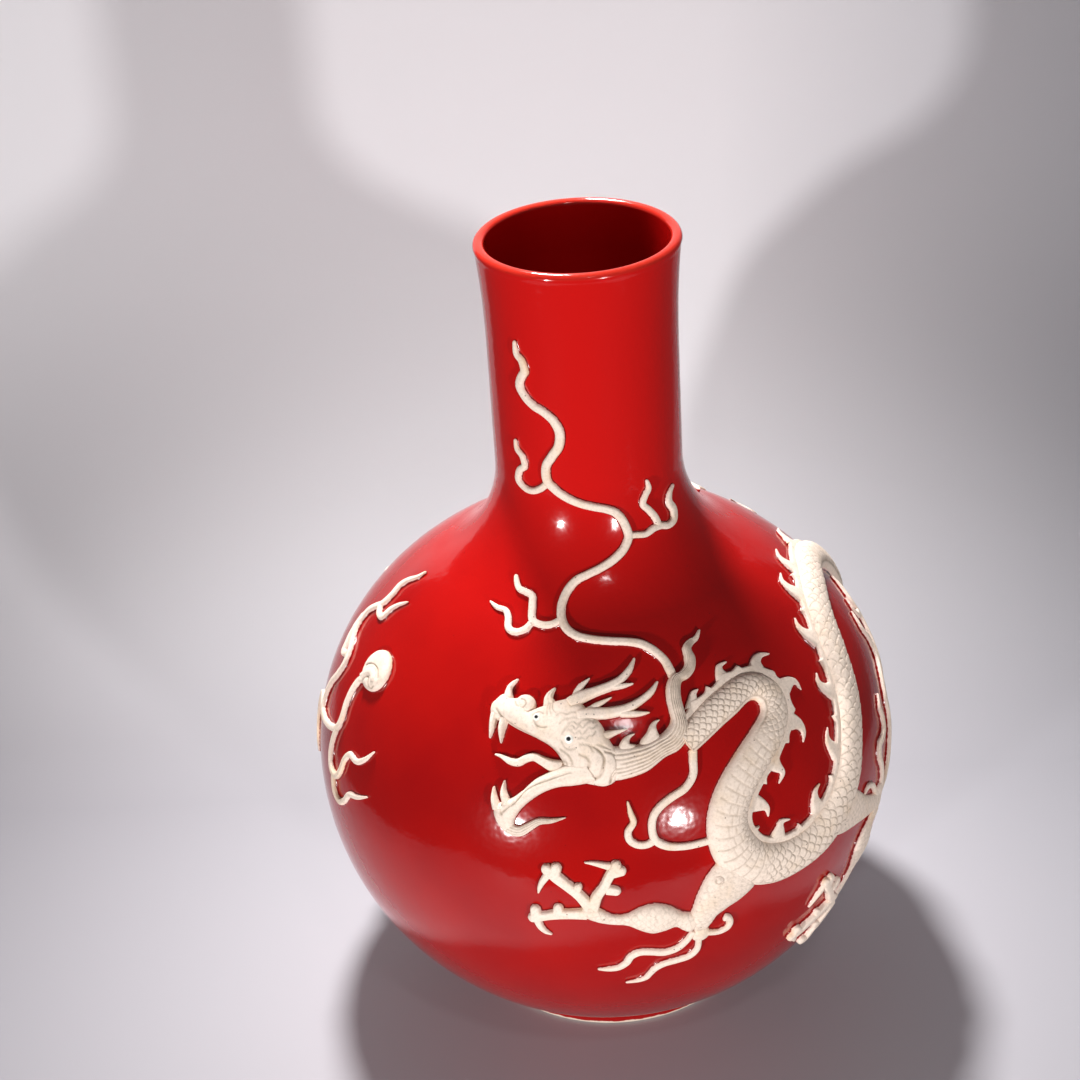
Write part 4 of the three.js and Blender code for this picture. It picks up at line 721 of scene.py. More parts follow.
ELBOW_FLAMES = [
    [(15, -8.6, 0.8), (13.7, -10.8, 0.85), (12, -12.4, 0.95), (9.5, -13, 1), (7.2, -12.4, 1), (5, -12.1, 1),
     (3.4, -13, 1), (2.6, -14.8, 0.95), (1.2, -16.2, 0.85), (-0.6, -16.6, 0.7), (-2.7, -16.6, 0.25)],
    [(16.1, -8.8, 0.8), (16.1, -11.5, 0.8), (15.8, -14, 0.85), (14.5, -15.5, 0.9), (12, -16.1, 0.9),
     (9.8, -16.5, 0.9), (8.2, -17.5, 0.9), (7.3, -19, 0.8), (6.6, -20.4, 0.75), (5.2, -21.2, 0.6),
     (2.8, -21.7, 0.2)],
    [(16.2, -9.4, 0.8), (18.2, -10.1, 0.8), (20.2, -10.5, 0.8), (21.8, -9.9, 0.85), (22.2, -8.5, 0.9),
     (21.6, -7.4, 1), (20.8, -7.1, 1.1)],
]
FLAME_ROOT = (16.4, -9.9)
FLAME_ROOT_SHARE = 1.2
FAR_FLAME_ROOT = (66.9, -2.6)
FAR_ELBOW_FLAMES = [
    [(65.6, -2.8, 0.8), (64.2, -0.6, 0.85), (62.6, 1.8, 0.85), (60.6, 2.7, 0.7), (58.8, 2, 0.25)],
    [(67, -3, 0.8), (68.6, -0.4, 0.85), (68.6, 2.4, 0.95), (67.7, 4.8, 1), (68.6, 7, 1), (71.2, 7.2, 1),
     (73.4, 8, 1), (74.2, 10, 0.85), (74.2, 12, 0.7), (76.3, 14.2, 0.25)],
    [(67.4, -3, 0.8), (73, -1.4, 0.85), (77.5, 2.4, 0.95), (80.5, 6, 1), (81, 9.8, 1), (84, 13.2, 1),
     (88, 15.4, 0.95), (89.6, 19, 0.85), (88.6, 22.6, 0.7), (90.6, 26, 0.25)],
]
# Each leg's elbow, its turn in degrees, its side and its thigh
LEGS = {
    "near_foreleg": (ELBOW, 0, 1, [
        (25.6, 3.2, 1.4), (23, 1.8, 1.52), (20.8, 0.1, 1.42), (18.7, -1.9, 1.1), (17.2, -4, 0.82),
        (16.2, -6.3, 0.7), (15.8, -8.6, 0.35)]),
    "far_foreleg": ((66.5, -4), 65, 1, [
        (47.3, 4.6, 1.35), (50.5, 3, 1.35), (54, 1.6, 1.2), (57.5, -0.3, 0.85), (61, -1.9, 0.66),
        (64, -3, 0.6), (66.3, -4, 0.62), (67.8, -4.7, 0.4)]),
    "near_hind_leg": ((139, -9), 30, 1, [
        (131, 2.5, 1.1), (133.5, -1, 1.05), (136.5, -4, 0.85), (138.6, -7, 0.7), (139.4, -10, 0.4)]),
    "far_hind_leg": ((213, -8), -30, -1, [
        (205, 2.6, 1), (207.4, -1.4, 0.95), (210.4, -4.4, 0.78), (212.4, -6.8, 0.68), (213, -9.2, 0.4)]),
}


def posed(name, row):
    """A row of the foreleg in front, turned about its elbow and moved to another leg's elbow."""
    elbow, turn, side, _ = LEGS[name]
    angle = math.radians(turn)
    east, north = (row[0] - ELBOW[0]) * side, row[1] - ELBOW[1]
    climb = elbow[1] + east * math.sin(angle) + north * math.cos(angle)
    reach = (east * math.cos(angle) - north * math.sin(angle)) * float(turn_scale(0))
    return (elbow[0] + reach / float(turn_scale(climb)), climb, *row[2:])


def hide_work(along, share, half):
    """The faint scales of a leg, as cuts."""
    _, cut = scale_work(along / 2, share * half, SMALL_SCALE)
    return cut * 0.5 * (np.abs(share) < 0.93)


def leg(name):
    """A leg: its thigh and forearm, then the toes with their claws and pads."""
    def pose(route):
        return [posed(name, row) for row in route]
    size = LEG_WIDTH, FAR_LEG_HEIGHT if name == "far_foreleg" else LEG_HEIGHT
    parts = [
        clay_strip("thigh", LEGS[name][3], *size, ends=(3.5, 4.0), grooves=hide_work, **LIMB_FORM),
        clay_strip("forearm", pose(FOREARM), *size, ends=(3.0, 2.5), grooves=hide_work, **LIMB_FORM),
    ]
    if name == "near_foreleg":
        parts.append(clay_dome("boss", *SHOULDER_BOSS, BOSS_RADIUS, BOSS_HEIGHT, 40, 24, 2.4, BOSS_LINES))
    for toe in TOES:
        parts.append(clay_strip("toe", pose(toe), TOE_WIDTH, TOE_HEIGHT, **TOE_FORM))
    for claw in CLAWS:
        parts.append(clay_strip("claw", pose(claw), CLAW_WIDTH, CLAW_HEIGHT, **CLAW_FORM))
    for pad in TOE_PADS:
        parts.append(clay_strip("pad", pose(pad), TOE_WIDTH, TOE_HEIGHT, **PAD_FORM))
    return joined(f"{name}_clay", parts)


def elbow_flames(name):
    if name == "far_foreleg":
        routes, root = FAR_ELBOW_FLAMES, FAR_FLAME_ROOT
    else:
        routes = [[posed(name, row) for row in route] for route in ELBOW_FLAMES]
        root = posed(name, FLAME_ROOT)
    parts = [clay_strip("flame", route, FLAME_WIDTH, FLAME_HEIGHT, ends=(0.6, 0.9)) for route in routes]
    parts.append(clay_dome("root", *root, FLAME_WIDTH * FLAME_ROOT_SHARE, FLAME_HEIGHT, 26, 8, 3.0))
    return joined(f"{name}_flames_clay", parts)


# Head: upper edge, lower edge and height share from the nose back to the cheek
SKULL = [
    (-26.9, 36.6, -26.8, 35.8, 0.45), (-26, 37.5, -26.3, 34.4, 0.6), (-24.6, 38.7, -24.9, 33.8, 0.75),
    (-22, 38.2, -22.6, 33.7, 0.82), (-19.6, 38.4, -19.8, 32.9, 0.86), (-17.4, 36.6, -17, 32.2, 0.84),
    (-15, 37.2, -14.2, 31.4, 0.9), (-12, 38.3, -11.4, 30.2, 1), (-9, 39, -9.3, 28.4, 1),
    (-6.4, 39.4, -7.2, 25, 1), (-4.4, 37.9, -4.8, 24.1, 0.98), (-2.4, 36.3, -2.4, 23.6, 0.94),
    (-0.4, 34.4, -0.4, 23.3, 0.86), (1, 32, 1.2, 23.7, 0.78), (2, 30.4, 2.2, 24.4, 0.72),
    (2.9, 29.6, 2.8, 25.4, 0.66),
]
SNOUT_HORN = [
    (-23, 37.2, 1.3), (-23.6, 39.1, 0.85), (-23.6, 40.2, 0.62), (-23, 41, 0.45), (-22, 41.9, 0.12),
]
BROW_HORN = [
    (-12.2, 36, 2.3), (-12.6, 37.7, 1.6), (-13.1, 38.9, 1.05), (-12.8, 39.8, 0.72), (-11.7, 41, 0.2),
]
UPPER_FANGS = [
    [(-25.6, 35, 1.2), (-25.5, 32.6, 0.85), (-25.5, 30.3, 0.12)],
    [(-23, 34.6, 1.3), (-23.1, 32.2, 0.95), (-22.7, 29.8, 0.12)],
]
NOSTRIL = (-18.6, 37.3)
LOWER_JAW = [
    (-21.4, 15.6, -19.6, 13.9, 0.55), (-22.3, 17.4, -18.2, 15, 0.75), (-22, 18.7, -17.9, 16.8, 0.85),
    (-20.8, 19.4, -17.1, 18.2, 0.95), (-18.7, 20.5, -16, 19.5, 1), (-16.8, 22, -14.2, 21, 1),
    (-14.3, 24.3, -12, 22.3, 1), (-12, 25.6, -9.3, 23.2, 1.05), (-9.5, 26.8, -6.6, 23.5, 1.2),
    (-7, 28, -3.8, 23.9, 1.36), (-4.8, 28.6, -1.8, 24.2, 1.36),
]
LOWER_FANGS = [
    [(-21.6, 18, 1.2), (-22.4, 20.1, 0.85), (-22.8, 22, 0.15)],
    [(-19.6, 19.2, 1.3), (-20.6, 21.3, 0.85), (-20.7, 23.4, 0.12)],
]
BEARD = [
    (-19.6, 14.9, 1.4), (-17, 14.5, 1.3), (-15, 15.6, 1.05), (-13.2, 16.7, 0.85), (-10.8, 17, 0.6),
    (-8, 17.7, 0.12),
]
TONGUE = [
    (-23.7, 27.7, 0.25), (-22, 27.5, 0.6), (-20, 26.9, 1), (-18.3, 26.9, 1.15), (-16.8, 27.7, 1.15),
    (-15, 28.2, 1.2), (-13, 27.6, 1.4), (-11, 27, 1.8), (-8.6, 26.9, 1.7),
]
UPPER_HORN = [
    [(-8, 38, 1.4), (-4.6, 39.5, 1.35), (-1, 40.5, 1.15), (2.5, 41.3, 1.1), (5.2, 42.3, 0.9), (8, 44, 0.75),
     (10.1, 46.1, 0.25)],
    [(-6.6, 38.8, 1.2), (-5.3, 41.2, 0.8), (-2.8, 43, 0.1)],
    [(1.5, 41.1, 0.9), (5.5, 41.1, 0.6), (8.5, 41.3, 0.15)],
]
LOWER_HORN = [
    [(-6, 35.8, 1.5), (-2, 36.3, 1.45), (2, 36.4, 1.3), (6, 36.9, 1.1), (9.5, 38, 0.85), (12.5, 39.3, 0.75),
     (14.8, 41, 0.25)],
    [(-4.2, 36.2, 1.1), (-1, 37.9, 0.7), (2.6, 39.2, 0.1)],
    [(4, 36.1, 0.9), (8, 35.7, 0.7), (11.2, 35.6, 0.15)],
]
EAR = [(-3.4, 31.2, 1.3), (-1.6, 31.6, 1.2), (0.6, 32.3, 1), (2.8, 32.8, 0.62), (5.5, 33.2, 0.12)]
CHEEK_TUFT = [(-3.6, 30.8, 1.5), (-1.4, 30.8, 1.35), (0.3, 30.4, 0.85), (1.6, 29.6, 0.15)]
# Eyes: the height of the head that each lies at, and its azimuth, climb and size
EYE_LEVELS = {"near_eye": 0.87, "far_eye": 0.8}
EYES = {"near_eye": (-7.3, 31.6, 1.25), "far_eye": (-14.8, 35.1, 1.0)}

# Lines carved on the head
LIP_LINE = [
    (-24.8, 35.5), (-23.1, 34.4), (-21.1, 33.6), (-19, 32.9), (-16.2, 32), (-13.3, 31), (-11, 30),
    (-9.6, 29.1),
]
NOSTRIL_CURL = [(-20.5, 37.3), (-19.8, 36.5), (-18.7, 36.5), (-17.9, 37.2), (-18.4, 37.9), (-19.2, 38)]
MOUTH_ROLL = [(-9.2, 29.9), (-7.4, 28.9), (-6.6, 27.7), (-6.8, 26.6), (-8.1, 25.6)]
MOUTH_CORNER = [(-8.7, 27.9), (-7.8, 27.6), (-7.9, 26.8), (-9, 26)]
CHEEK_FOLDS = [
    [(-5, 29), (-3.7, 28.5), (-3.1, 27.6), (-3.6, 26.6), (-4.6, 26.1)],
    [(-2.9, 30.6), (-1.2, 29.7), (-0.1, 28.4), (-0.3, 27), (-1, 25.5), (-2.3, 24.7)],
    [(0.3, 29.4), (1.7, 29), (2.5, 27.8), (2.4, 26.4), (1.3, 25.2), (0.9, 23.9)],
]
FACE_LINES = [
    [(-20.6, 37.4), (-19.9, 36.7), (-18.8, 36.8), (-18, 37.3)],
    [(-8.9, 31.2), (-8.4, 30.4), (-7.4, 29.9), (-6, 30)],
    [(-8.8, 32.4), (-8.2, 33.1), (-7.2, 33.2), (-6.2, 32.6)],
    [(-15.4, 34.4), (-14.6, 33.7), (-13.4, 33.4), (-12.3, 33.5)],
    [(-15.6, 35.4), (-14.6, 36.1), (-13.4, 35.8)], [(-5, 30.7), (-3.2, 30.5), (-2.1, 29.4)],
    [(-2.6, 30.4), (-1.1, 30.6), (0.4, 30.1), (1.4, 29.7)],
]
BROW_WAVES = [
    [(-8.6, 32.8), (-7.9, 33.6), (-6.6, 33.9), (-5.9, 33.4), (-5, 34), (-4.4, 33.6), (-3.6, 34.3),
     (-2.7, 34.8), (-1.5, 34.7), (-0.9, 35.4)],
    [(-7.6, 34.2), (-6.6, 34.6), (-5.4, 34.2), (-4.4, 34.9), (-3.3, 35.1), (-2.2, 34.8), (-1.4, 35.4)],
    [(-5.9, 32.6), (-5, 33), (-4.6, 32.4), (-3.7, 33), (-3.1, 33.6), (-2.2, 33.5), (-1.3, 34.1)],
    [(-5.3, 31.7), (-4.4, 31.9), (-3.8, 31.6), (-3, 32.2), (-2.3, 32.2), (-1.6, 32.9)],
    [(-10.3, 35.6), (-9.4, 36.1), (-8, 35.9), (-7, 36.3), (-5.1, 36.2), (-3.8, 36.2)],
    [(-9.4, 34.2), (-8.6, 34.9), (-7.8, 35.1), (-6.6, 35.3), (-5.4, 35.3)],
]
HORN_LINES = [
    [(-12.9, 39), (-12.8, 38), (-12.7, 36.5), (-12.5, 35.7)],
    [(-12.5, 39.2), (-12.3, 38.3), (-12.1, 36.8), (-11.6, 35.8)],
    [(-12, 38.8), (-11.7, 38), (-11.4, 36.8), (-10.6, 36.1)],
]
# Soft swellings: azimuth, climb, radius and height
FACE_SWELLINGS = [
    (-7.3, 31.6, 4.2, 0.5), (-14.8, 35.1, 3.4, 0.4), (-2.2, 28, 4.5, 0.7), (-9.5, 33.8, 5.5, 0.5),
    (-21.5, 36, 5, 0.5), (1.2, 27, 3.2, 0.5), (-5.6, 27.6, 2.6, 0.4),
]
JAW_LINE = [
    (-7, 25.9), (-8.1, 25.6), (-11.2, 24.5), (-13.7, 23.5), (-15.5, 22.4), (-16.7, 21.1), (-17.7, 19.9),
    (-19, 19), (-20.1, 17.9),
]
JAW_DIMPLE = [(-20.5, 17.8), (-20.4, 17.6), (-20.3, 17.5)]

# What is carved on the head: lines, their width, depth and shade
SKULL_CARVING = [
    ([LIP_LINE], 0.55, 0.7, 0.9), ([MOUTH_ROLL, MOUTH_CORNER], 0.5, 0.6, 0.9), (CHEEK_FOLDS, 0.6, 0.9, 1.0),
    (FACE_LINES, 0.42, 0.5, 0.8), (BROW_WAVES, 0.38, 0.4, 0.75), (HORN_LINES, 0.34, 0.35, 0.7),
]
JAW_CARVING = [([JAW_LINE], 0.45, 0.6, 0.9), ([JAW_DIMPLE], 0.6, 0.8, 1.0)]


def carve_skull(azimuth, climb, lift, cut, along, share):
    lift = swelled(azimuth, climb, lift, FACE_SWELLINGS)
    for work in SKULL_CARVING:
        lift, cut = carved(azimuth, climb, lift, cut, *work)
    return lift, cut


def horn_work(along, share, half):
    """Two grooves along the brow's horn."""
    return np.exp(-((np.abs(share - 0.35) - 0.35) * half / 0.35) ** 2) * 0.6


def fangs(routes):
    return [clay_strip("fang", route, FANG_WIDTH, JAW_HEIGHT, **FANG_FORM) for route in routes]


def skull():
    horn_size = HORN_WIDTH, HORN_HEIGHT
    parts = [
        clay_span("skull", SKULL, HEAD_HEIGHT, 0.4, 84, carve=carve_skull),
        clay_dome("nostril", *NOSTRIL, NOSTRIL_RADIUS, HEAD_HEIGHT * 0.84, 60, 34, 3.2, [NOSTRIL_CURL]),
        clay_strip("tuft", CHEEK_TUFT, *horn_size, cols=21, step=0.5, ends=(1.0, 0.6), root=TUFT_ROOT),
        clay_strip("snout_horn", SNOUT_HORN, *horn_size, cols=17, step=0.5, ends=(1.0, 0.6)),
        clay_strip("brow_horn", BROW_HORN, *horn_size, cols=21, step=0.5, ends=(1.0, 0.8), grooves=horn_work),
    ]
    return joined("skull_clay", parts + fangs(UPPER_FANGS))


def tongue():
    parts = [clay_strip("tongue", TONGUE, TONGUE_WIDTH, TONGUE_HEIGHT, cols=17, step=0.5, ends=(0.6, 1.0))]
    return joined("tongue_clay", parts)


def carve_jaw(azimuth, climb, lift, cut, along, share):
    for work in JAW_CARVING:
        lift, cut = carved(azimuth, climb, lift, cut, *work)
    return lift, cut


def beard_work(along, share, half):
    """Long fine grooves that follow the strip."""
    lines = np.abs(share * 2 - np.rint(share * 2)) / 2
    return np.exp(-(lines * half / 0.3) ** 2) * 0.7 * (np.abs(share) < 0.8)


def lower_jaw():
    parts = [
        clay_span("jaw", LOWER_JAW, JAW_HEIGHT, 0.45, 48, carve=carve_jaw, ends=(1.4, 0.0)),
        clay_strip("beard", BEARD, FLAME_WIDTH, FLAME_HEIGHT * 1.3, cols=25, step=0.5, ends=(1.4, 0.5),
                   grooves=beard_work),
    ]
    return joined("lower_jaw_clay", parts + fangs(LOWER_FANGS))


def horn(name, routes):
    """A horn with its branches: the first route grows out of the head, and the others out of the first."""
    parts = []
    for k, route in enumerate(routes):
        root = None if k else HORN_ROOT
        parts.append(clay_strip("horn", route, HORN_WIDTH, HORN_HEIGHT, root=root, **HORN_FORM))
    return joined(f"{name}_clay", parts)


# Mane: upper edge, lower edge and height share from the cheek round and up to the streamer's tip
MANE = [
    (-1.4, 30.6, -1, 24.3, 0.8), (1.6, 30.4, 2.2, 24.2, 0.85), (5, 30.2, 5, 24.5, 0.92),
    (8.5, 30.3, 8.6, 25.3, 1), (11.5, 31, 12.6, 27.2, 1), (14.2, 32.2, 16.2, 28.2, 1),
    (15.6, 33.6, 18.8, 30.4, 1), (15.7, 35.5, 19.2, 33.8, 0.95), (15.8, 37.5, 19.3, 36.6, 0.9),
    (16.5, 39.6, 19.8, 38.4, 0.85), (18.4, 41.4, 20.8, 39.8, 0.75), (21, 41.8, 22.8, 40.2, 0.7),
    (23.2, 42.8, 25.4, 41.4, 0.7), (24, 44.3, 26.9, 43.4, 0.7), (24.6, 45.9, 27, 45.2, 0.62),
    (26.6, 47, 28.3, 46, 0.5), (29.5, 47.4, 30.6, 46.6, 0.4), (32.4, 48.4, 32.8, 48.1, 0.3),
]
MANE_CURLS = [
    [(4.9, 28.6, 3.4), (4.8, 29.7, 2.5), (4.6, 30.6, 1.2), (5.1, 31.4, 0.7), (5.9, 31.9, 0.4),
     (7, 32.2, 0.1)],
    [(10.3, 29.2, 3.4), (10.6, 30.7, 2.5), (10.9, 32, 1.25), (11.3, 33.1, 0.72), (12, 33.7, 0.45),
     (13.1, 34, 0.1)],
]
# Grooves of the mane, as shares of its width from the middle
MANE_LINES = (-0.52, -0.24, 0.02, 0.26, 0.5, 0.74)


def carve_mane(azimuth, climb, lift, cut, along, share):
    """Long parallel grooves that run from the cheek up to the streamer."""
    span = np.hypot((azimuth[:, :1] - azimuth[:, -1:]) * turn_scale(climb[:, :1]),
                    (climb[:, :1] - climb[:, -1:]) * climb_scale(climb[:, :1]))
    sway = 0.05 * np.sin(along * 0.22)
    for k, line in enumerate(MANE_LINES):
        from_start = smooth_step(2 + 3 * (k % 3), 6 + 3 * (k % 3), along)
        near = np.exp(-(np.abs(share - line - sway) * span / 2 / 0.42) ** 2) * from_start
        near = near * (1 - smooth_step(along.max() - 9, along.max() - 3, along))
        lift = lift - near * MANE_GROOVE_DEPTH * firmness(lift)
        cut = np.maximum(cut, near * 0.85)
    return lift, cut


def mane():
    parts = [clay_span("mane", MANE, MANE_HEIGHT, 0.5, 56, carve=carve_mane, ends=(0.0, 0.8))]
    for curl in MANE_CURLS:
        parts.append(clay_strip("curl", curl, HORN_WIDTH, HORN_HEIGHT, cols=19, step=0.5, ends=(2.0, 0.6)))
    return joined("mane_clay", parts)


# Long wisps
NECK_WISP_NUDGE = (0.7, -0.35)
NECK_WISP = [
    [(18.6, 40.4, 1), (18.2, 43, 1.05), (17.6, 45, 1), (15.6, 47.2, 1), (12.4, 49, 1), (8, 49.9, 0.95),
     (3, 50.4, 0.95), (-3, 51, 0.95), (-8, 51.8, 1), (-11.8, 53.4, 1), (-14, 55.6, 1), (-14.6, 58.2, 1),
     (-13, 60.8, 1), (-9.5, 62.8, 1), (-4, 64, 0.95), (3, 65.2, 0.95), (10, 66.6, 1), (16, 68.4, 1),
     (19, 70.4, 1), (17.6, 72.8, 1), (13.6, 75, 1), (8, 76.1, 0.95), (1, 76.8, 0.95), (-7, 77.6, 0.95),
     (-15, 78.8, 1), (-22, 80.4, 1.05), (-26.6, 82.2, 1.1), (-26.6, 84.6, 1.05), (-22.5, 87, 1.05),
     (-17.6, 89.6, 1.1), (-16.8, 92, 1.1), (-19.6, 94.2, 1.05), (-25.5, 95.9, 1), (-32, 96.9, 1),
     (-38, 98.5, 1), (-41.2, 100.4, 1.05), (-39.4, 102.2, 1), (-36.8, 103.6, 1), (-38.2, 105.4, 0.9),
     (-42, 106.8, 0.75), (-42.6, 109.2, 0.4)],
    [(-13.9, 55, 0.8), (-17, 53.8, 0.85), (-21, 53.5, 0.85), (-24.6, 54.4, 0.9), (-26.2, 56.8, 0.9),
     (-27.6, 58.8, 0.85), (-31, 59.4, 0.8), (-35, 59.8, 0.75), (-37.4, 61, 0.65), (-39, 62.1, 0.4)],
    [(-24, 54, 0.8), (-25.4, 52.2, 0.85), (-28.4, 51.1, 0.85), (-31.6, 51.6, 0.85), (-33.6, 53.6, 0.8),
     (-36, 54.8, 0.7), (-40, 54.9, 0.6), (-44.4, 55.5, 0.25)],
    [(18.6, 70.2, 0.8), (23, 70.1, 0.75), (29, 69.7, 0.75), (35, 70.2, 0.85), (40, 70.1, 0.85),
     (45, 69.5, 0.85), (50.4, 70.2, 1), (52, 71.8, 1.1), (50, 73.6, 1), (52, 75, 0.75), (57.6, 76.2, 0.3)],
    [(38.4, 70.2, 0.9), (37.4, 72, 0.9), (34, 74, 0.85), (30.6, 75.6, 0.8), (32.6, 77, 0.8),
     (35.6, 78.4, 0.7), (34.4, 80.2, 0.35)],
    [(-26, 81.4, 0.8), (-31, 79.9, 0.8), (-37, 79, 0.8), (-42.5, 79.2, 0.8), (-47.4, 80.6, 0.85),
     (-46, 82.4, 0.85), (-41.4, 84, 0.8), (-42.6, 85.6, 0.75), (-47, 87, 0.6), (-48, 88.8, 0.35)],
]
CHEEK_WISP = [
    [(18.9, 27.6, 1), (18.4, 25.6, 0.95), (17.8, 23.2, 0.9), (15.8, 21.2, 0.9), (12.6, 19.9, 0.9),
     (10.2, 18.6, 0.9), (8.7, 17, 0.9), (8.2, 14.8, 0.9), (8.6, 12.7, 0.95), (10.4, 11.3, 0.95),
     (14, 10.5, 0.85), (19.6, 10.5, 0.85)],
    [(8.8, 12.8, 0.9), (7, 12, 0.85), (5.1, 12.2, 0.85), (3.8, 13.3, 0.85), (3.7, 14.8, 0.8),
     (4.8, 16.4, 0.75), (4.4, 18.2, 0.6), (4, 20.4, 0.2)],
]

# Flaming pearl: place, and the routes of its flames
PEARL = (-64.6, 31.9)
PEARL_HOOK = [
    (-67.2, 28.9, 0.9), (-66.6, 29.7, 1.1), (-65.7, 30.7, 1.2), (-64.3, 31.4, 1.3), (-62.8, 31, 1.25),
    (-62.4, 30, 0.9),
]
PEARL_CUTS = [
    [(-67.8, 31.2), (-67, 31.9), (-65.6, 32.5), (-64, 32.7), (-62.4, 32.4), (-61.2, 31.4)],
    [(-66.2, 28.6), (-65.2, 29.9), (-64.1, 30.1), (-63.2, 29), (-62.2, 28.8), (-61.5, 29.5)],
]
PEARL_FLAMES = [
    [(-67, 29, 1.2), (-68.8, 27.8, 1), (-69.6, 25.6, 1), (-69.6, 22.4, 1), (-69, 19, 1), (-69.8, 16.6, 1),
     (-73, 14.9, 1), (-78, 13.6, 1.05), (-82, 13.4, 1.1), (-86, 14.2, 0.9), (-89.6, 12.6, 0.9),
     (-90.8, 9, 0.9), (-89.6, 5.4, 0.8), (-87.6, 2.6, 0.6), (-86.8, 0.4, 0.25)],
    [(-69.8, 16.4, 0.95), (-70.4, 13.4, 0.9), (-70.2, 10.4, 0.9), (-68.6, 8, 0.95), (-66, 8, 0.95),
     (-64.2, 10.2, 0.9), (-63.2, 13.2, 0.85), (-61.6, 15, 0.85), (-58.6, 15, 0.8), (-56.2, 16.6, 0.65),
     (-53.8, 19.3, 0.2)],
    [(-67.4, 8.2, 0.95), (-67.2, 6, 0.9), (-66, 4, 0.9), (-63.6, 3.6, 0.9), (-61.4, 5.2, 0.85),
     (-59.6, 7.4, 0.8), (-56.6, 8.4, 0.65), (-53.2, 10.1, 0.2)],
    [(-82, 12.8, 1), (-83, 16, 1), (-82.4, 19.6, 1), (-80.4, 23, 1), (-79.8, 26, 1), (-81.6, 28.4, 1.05),
     (-85, 29.8, 1.05), (-87.6, 32.4, 1), (-87.8, 35.2, 1), (-86, 37.4, 1), (-84, 39.4, 1), (-84, 42, 1),
     (-85.4, 44.2, 0.95), (-84.6, 46.4, 0.8), (-82.6, 48.4, 0.6), (-82.2, 50.4, 0.3)],
    [(-81.6, 27.2, 0.95), (-84.6, 26, 1), (-86.2, 27.8, 0.95), (-88, 30.2, 0.85), (-90.4, 33, 0.25)],
    [(-84.6, 38.8, 0.9), (-81.4, 38, 0.9), (-78.4, 38.6, 0.9), (-78, 40.8, 0.8), (-76.8, 42.6, 0.6),
     (-74.2, 44.8, 0.2)],
]

# Flames round the back, and the tuft at the tail's tip
SHOULDER_FLAME = [
    [(139, 20, 0.35), (136.6, 25, 0.9), (139.4, 29.6, 1), (144.6, 32.6, 1), (147, 36.8, 1), (145.4, 41, 1),
     (149, 45.4, 1), (149.6, 49, 1), (144.6, 51.6, 1), (138, 52.6, 0.85), (131.4, 54.4, 0.25)],
    [(140, 30.4, 0.85), (134.6, 31.4, 0.85), (132, 34.8, 0.8), (136, 37.6, 0.6), (135.6, 40.4, 0.25)],
]
SIDE_FLAME = [
    [(92, 8.6, 0.4), (93.6, 12.4, 0.9), (96.4, 16.4, 1), (98.6, 20, 1), (98.4, 23.4, 1), (101, 26.4, 0.8),
     (102.6, 29, 0.25)],
    [(98.4, 21.4, 0.9), (95, 22, 0.85), (93.4, 24.4, 0.6), (95, 27, 0.25)],
]
LOOP_FLAME = [
    [(157.4, -18, 0.35), (161.4, -15.4, 0.8), (165.8, -17.4, 1), (169, -21.2, 1), (174, -22.8, 1),
     (178.4, -19.6, 1), (182, -15.6, 0.9), (187, -15.2, 0.6), (190.6, -18, 0.25)],
    [(171, -22.2, 0.9), (173.6, -26.4, 0.9), (178.6, -28.2, 0.8), (183.4, -26.2, 0.6), (187, -28.4, 0.25)],
]
BACK_NECK_FLAME = [
    [(168, 33, 0.9), (168.6, 40, 0.9), (164.6, 45.6, 1), (168.4, 50.4, 1), (177, 53, 1), (184, 57, 1),
     (181, 62, 1), (170, 65.6, 1), (164, 70, 1), (170, 74.4, 1), (181, 77.2, 1), (186, 82, 0.9),
     (178, 86.6, 0.7), (180, 91, 0.3)],
    [(182.4, 60, 0.85), (190, 62, 0.85), (195.6, 60.4, 0.8), (201, 62.4, 0.55), (206, 61.6, 0.25)],
    [(171.6, 75, 0.85), (160, 77, 0.85), (152, 80.4, 0.7), (156, 84, 0.35)],
]
TAIL_TUFT = [
    [(234, 21.8, 1.5), (237.6, 21, 1.6), (240.6, 18.4, 1.2), (244, 17.8, 0.3)],
    [(233.8, 22.2, 1.2), (237, 24, 1.2), (238.6, 26.6, 0.9), (241.4, 27.8, 0.25)],
    [(234.2, 21.2, 1.2), (236.8, 17.8, 1.2), (239, 14, 0.9), (242.8, 13.2, 0.25)],
    [(233.4, 22.4, 1), (232.8, 25.8, 1), (231.4, 29, 0.7), (232.8, 32.2, 0.25)],
]


def wisp(name, routes, width=FLAME_WIDTH, height=FLAME_HEIGHT, nudge=(0, 0)):
    parts = []
    for route in routes:
        moved = [(azimuth + nudge[0], climb + nudge[1], share) for azimuth, climb, share in route]
        parts.append(clay_strip("wisp", moved, width, height, ends=(0.8, 1.0)))
    return joined(f"{name}_clay", parts)


def pearl():
    """The flattened pearl with the little hook that curls on its face."""
    parts = [
        clay_dome("pearl", *PEARL, PEARL_RADIUS, PEARL_HEIGHT, 96, 60, 6, PEARL_CUTS),
        clay_strip("hook", PEARL_HOOK, FLAME_WIDTH, PEARL_HEIGHT + HOOK_RISE, cols=21, step=0.4, power=3,
                   ends=(1.0, 1.6)),
    ]
    return joined("pearl_clay", parts)


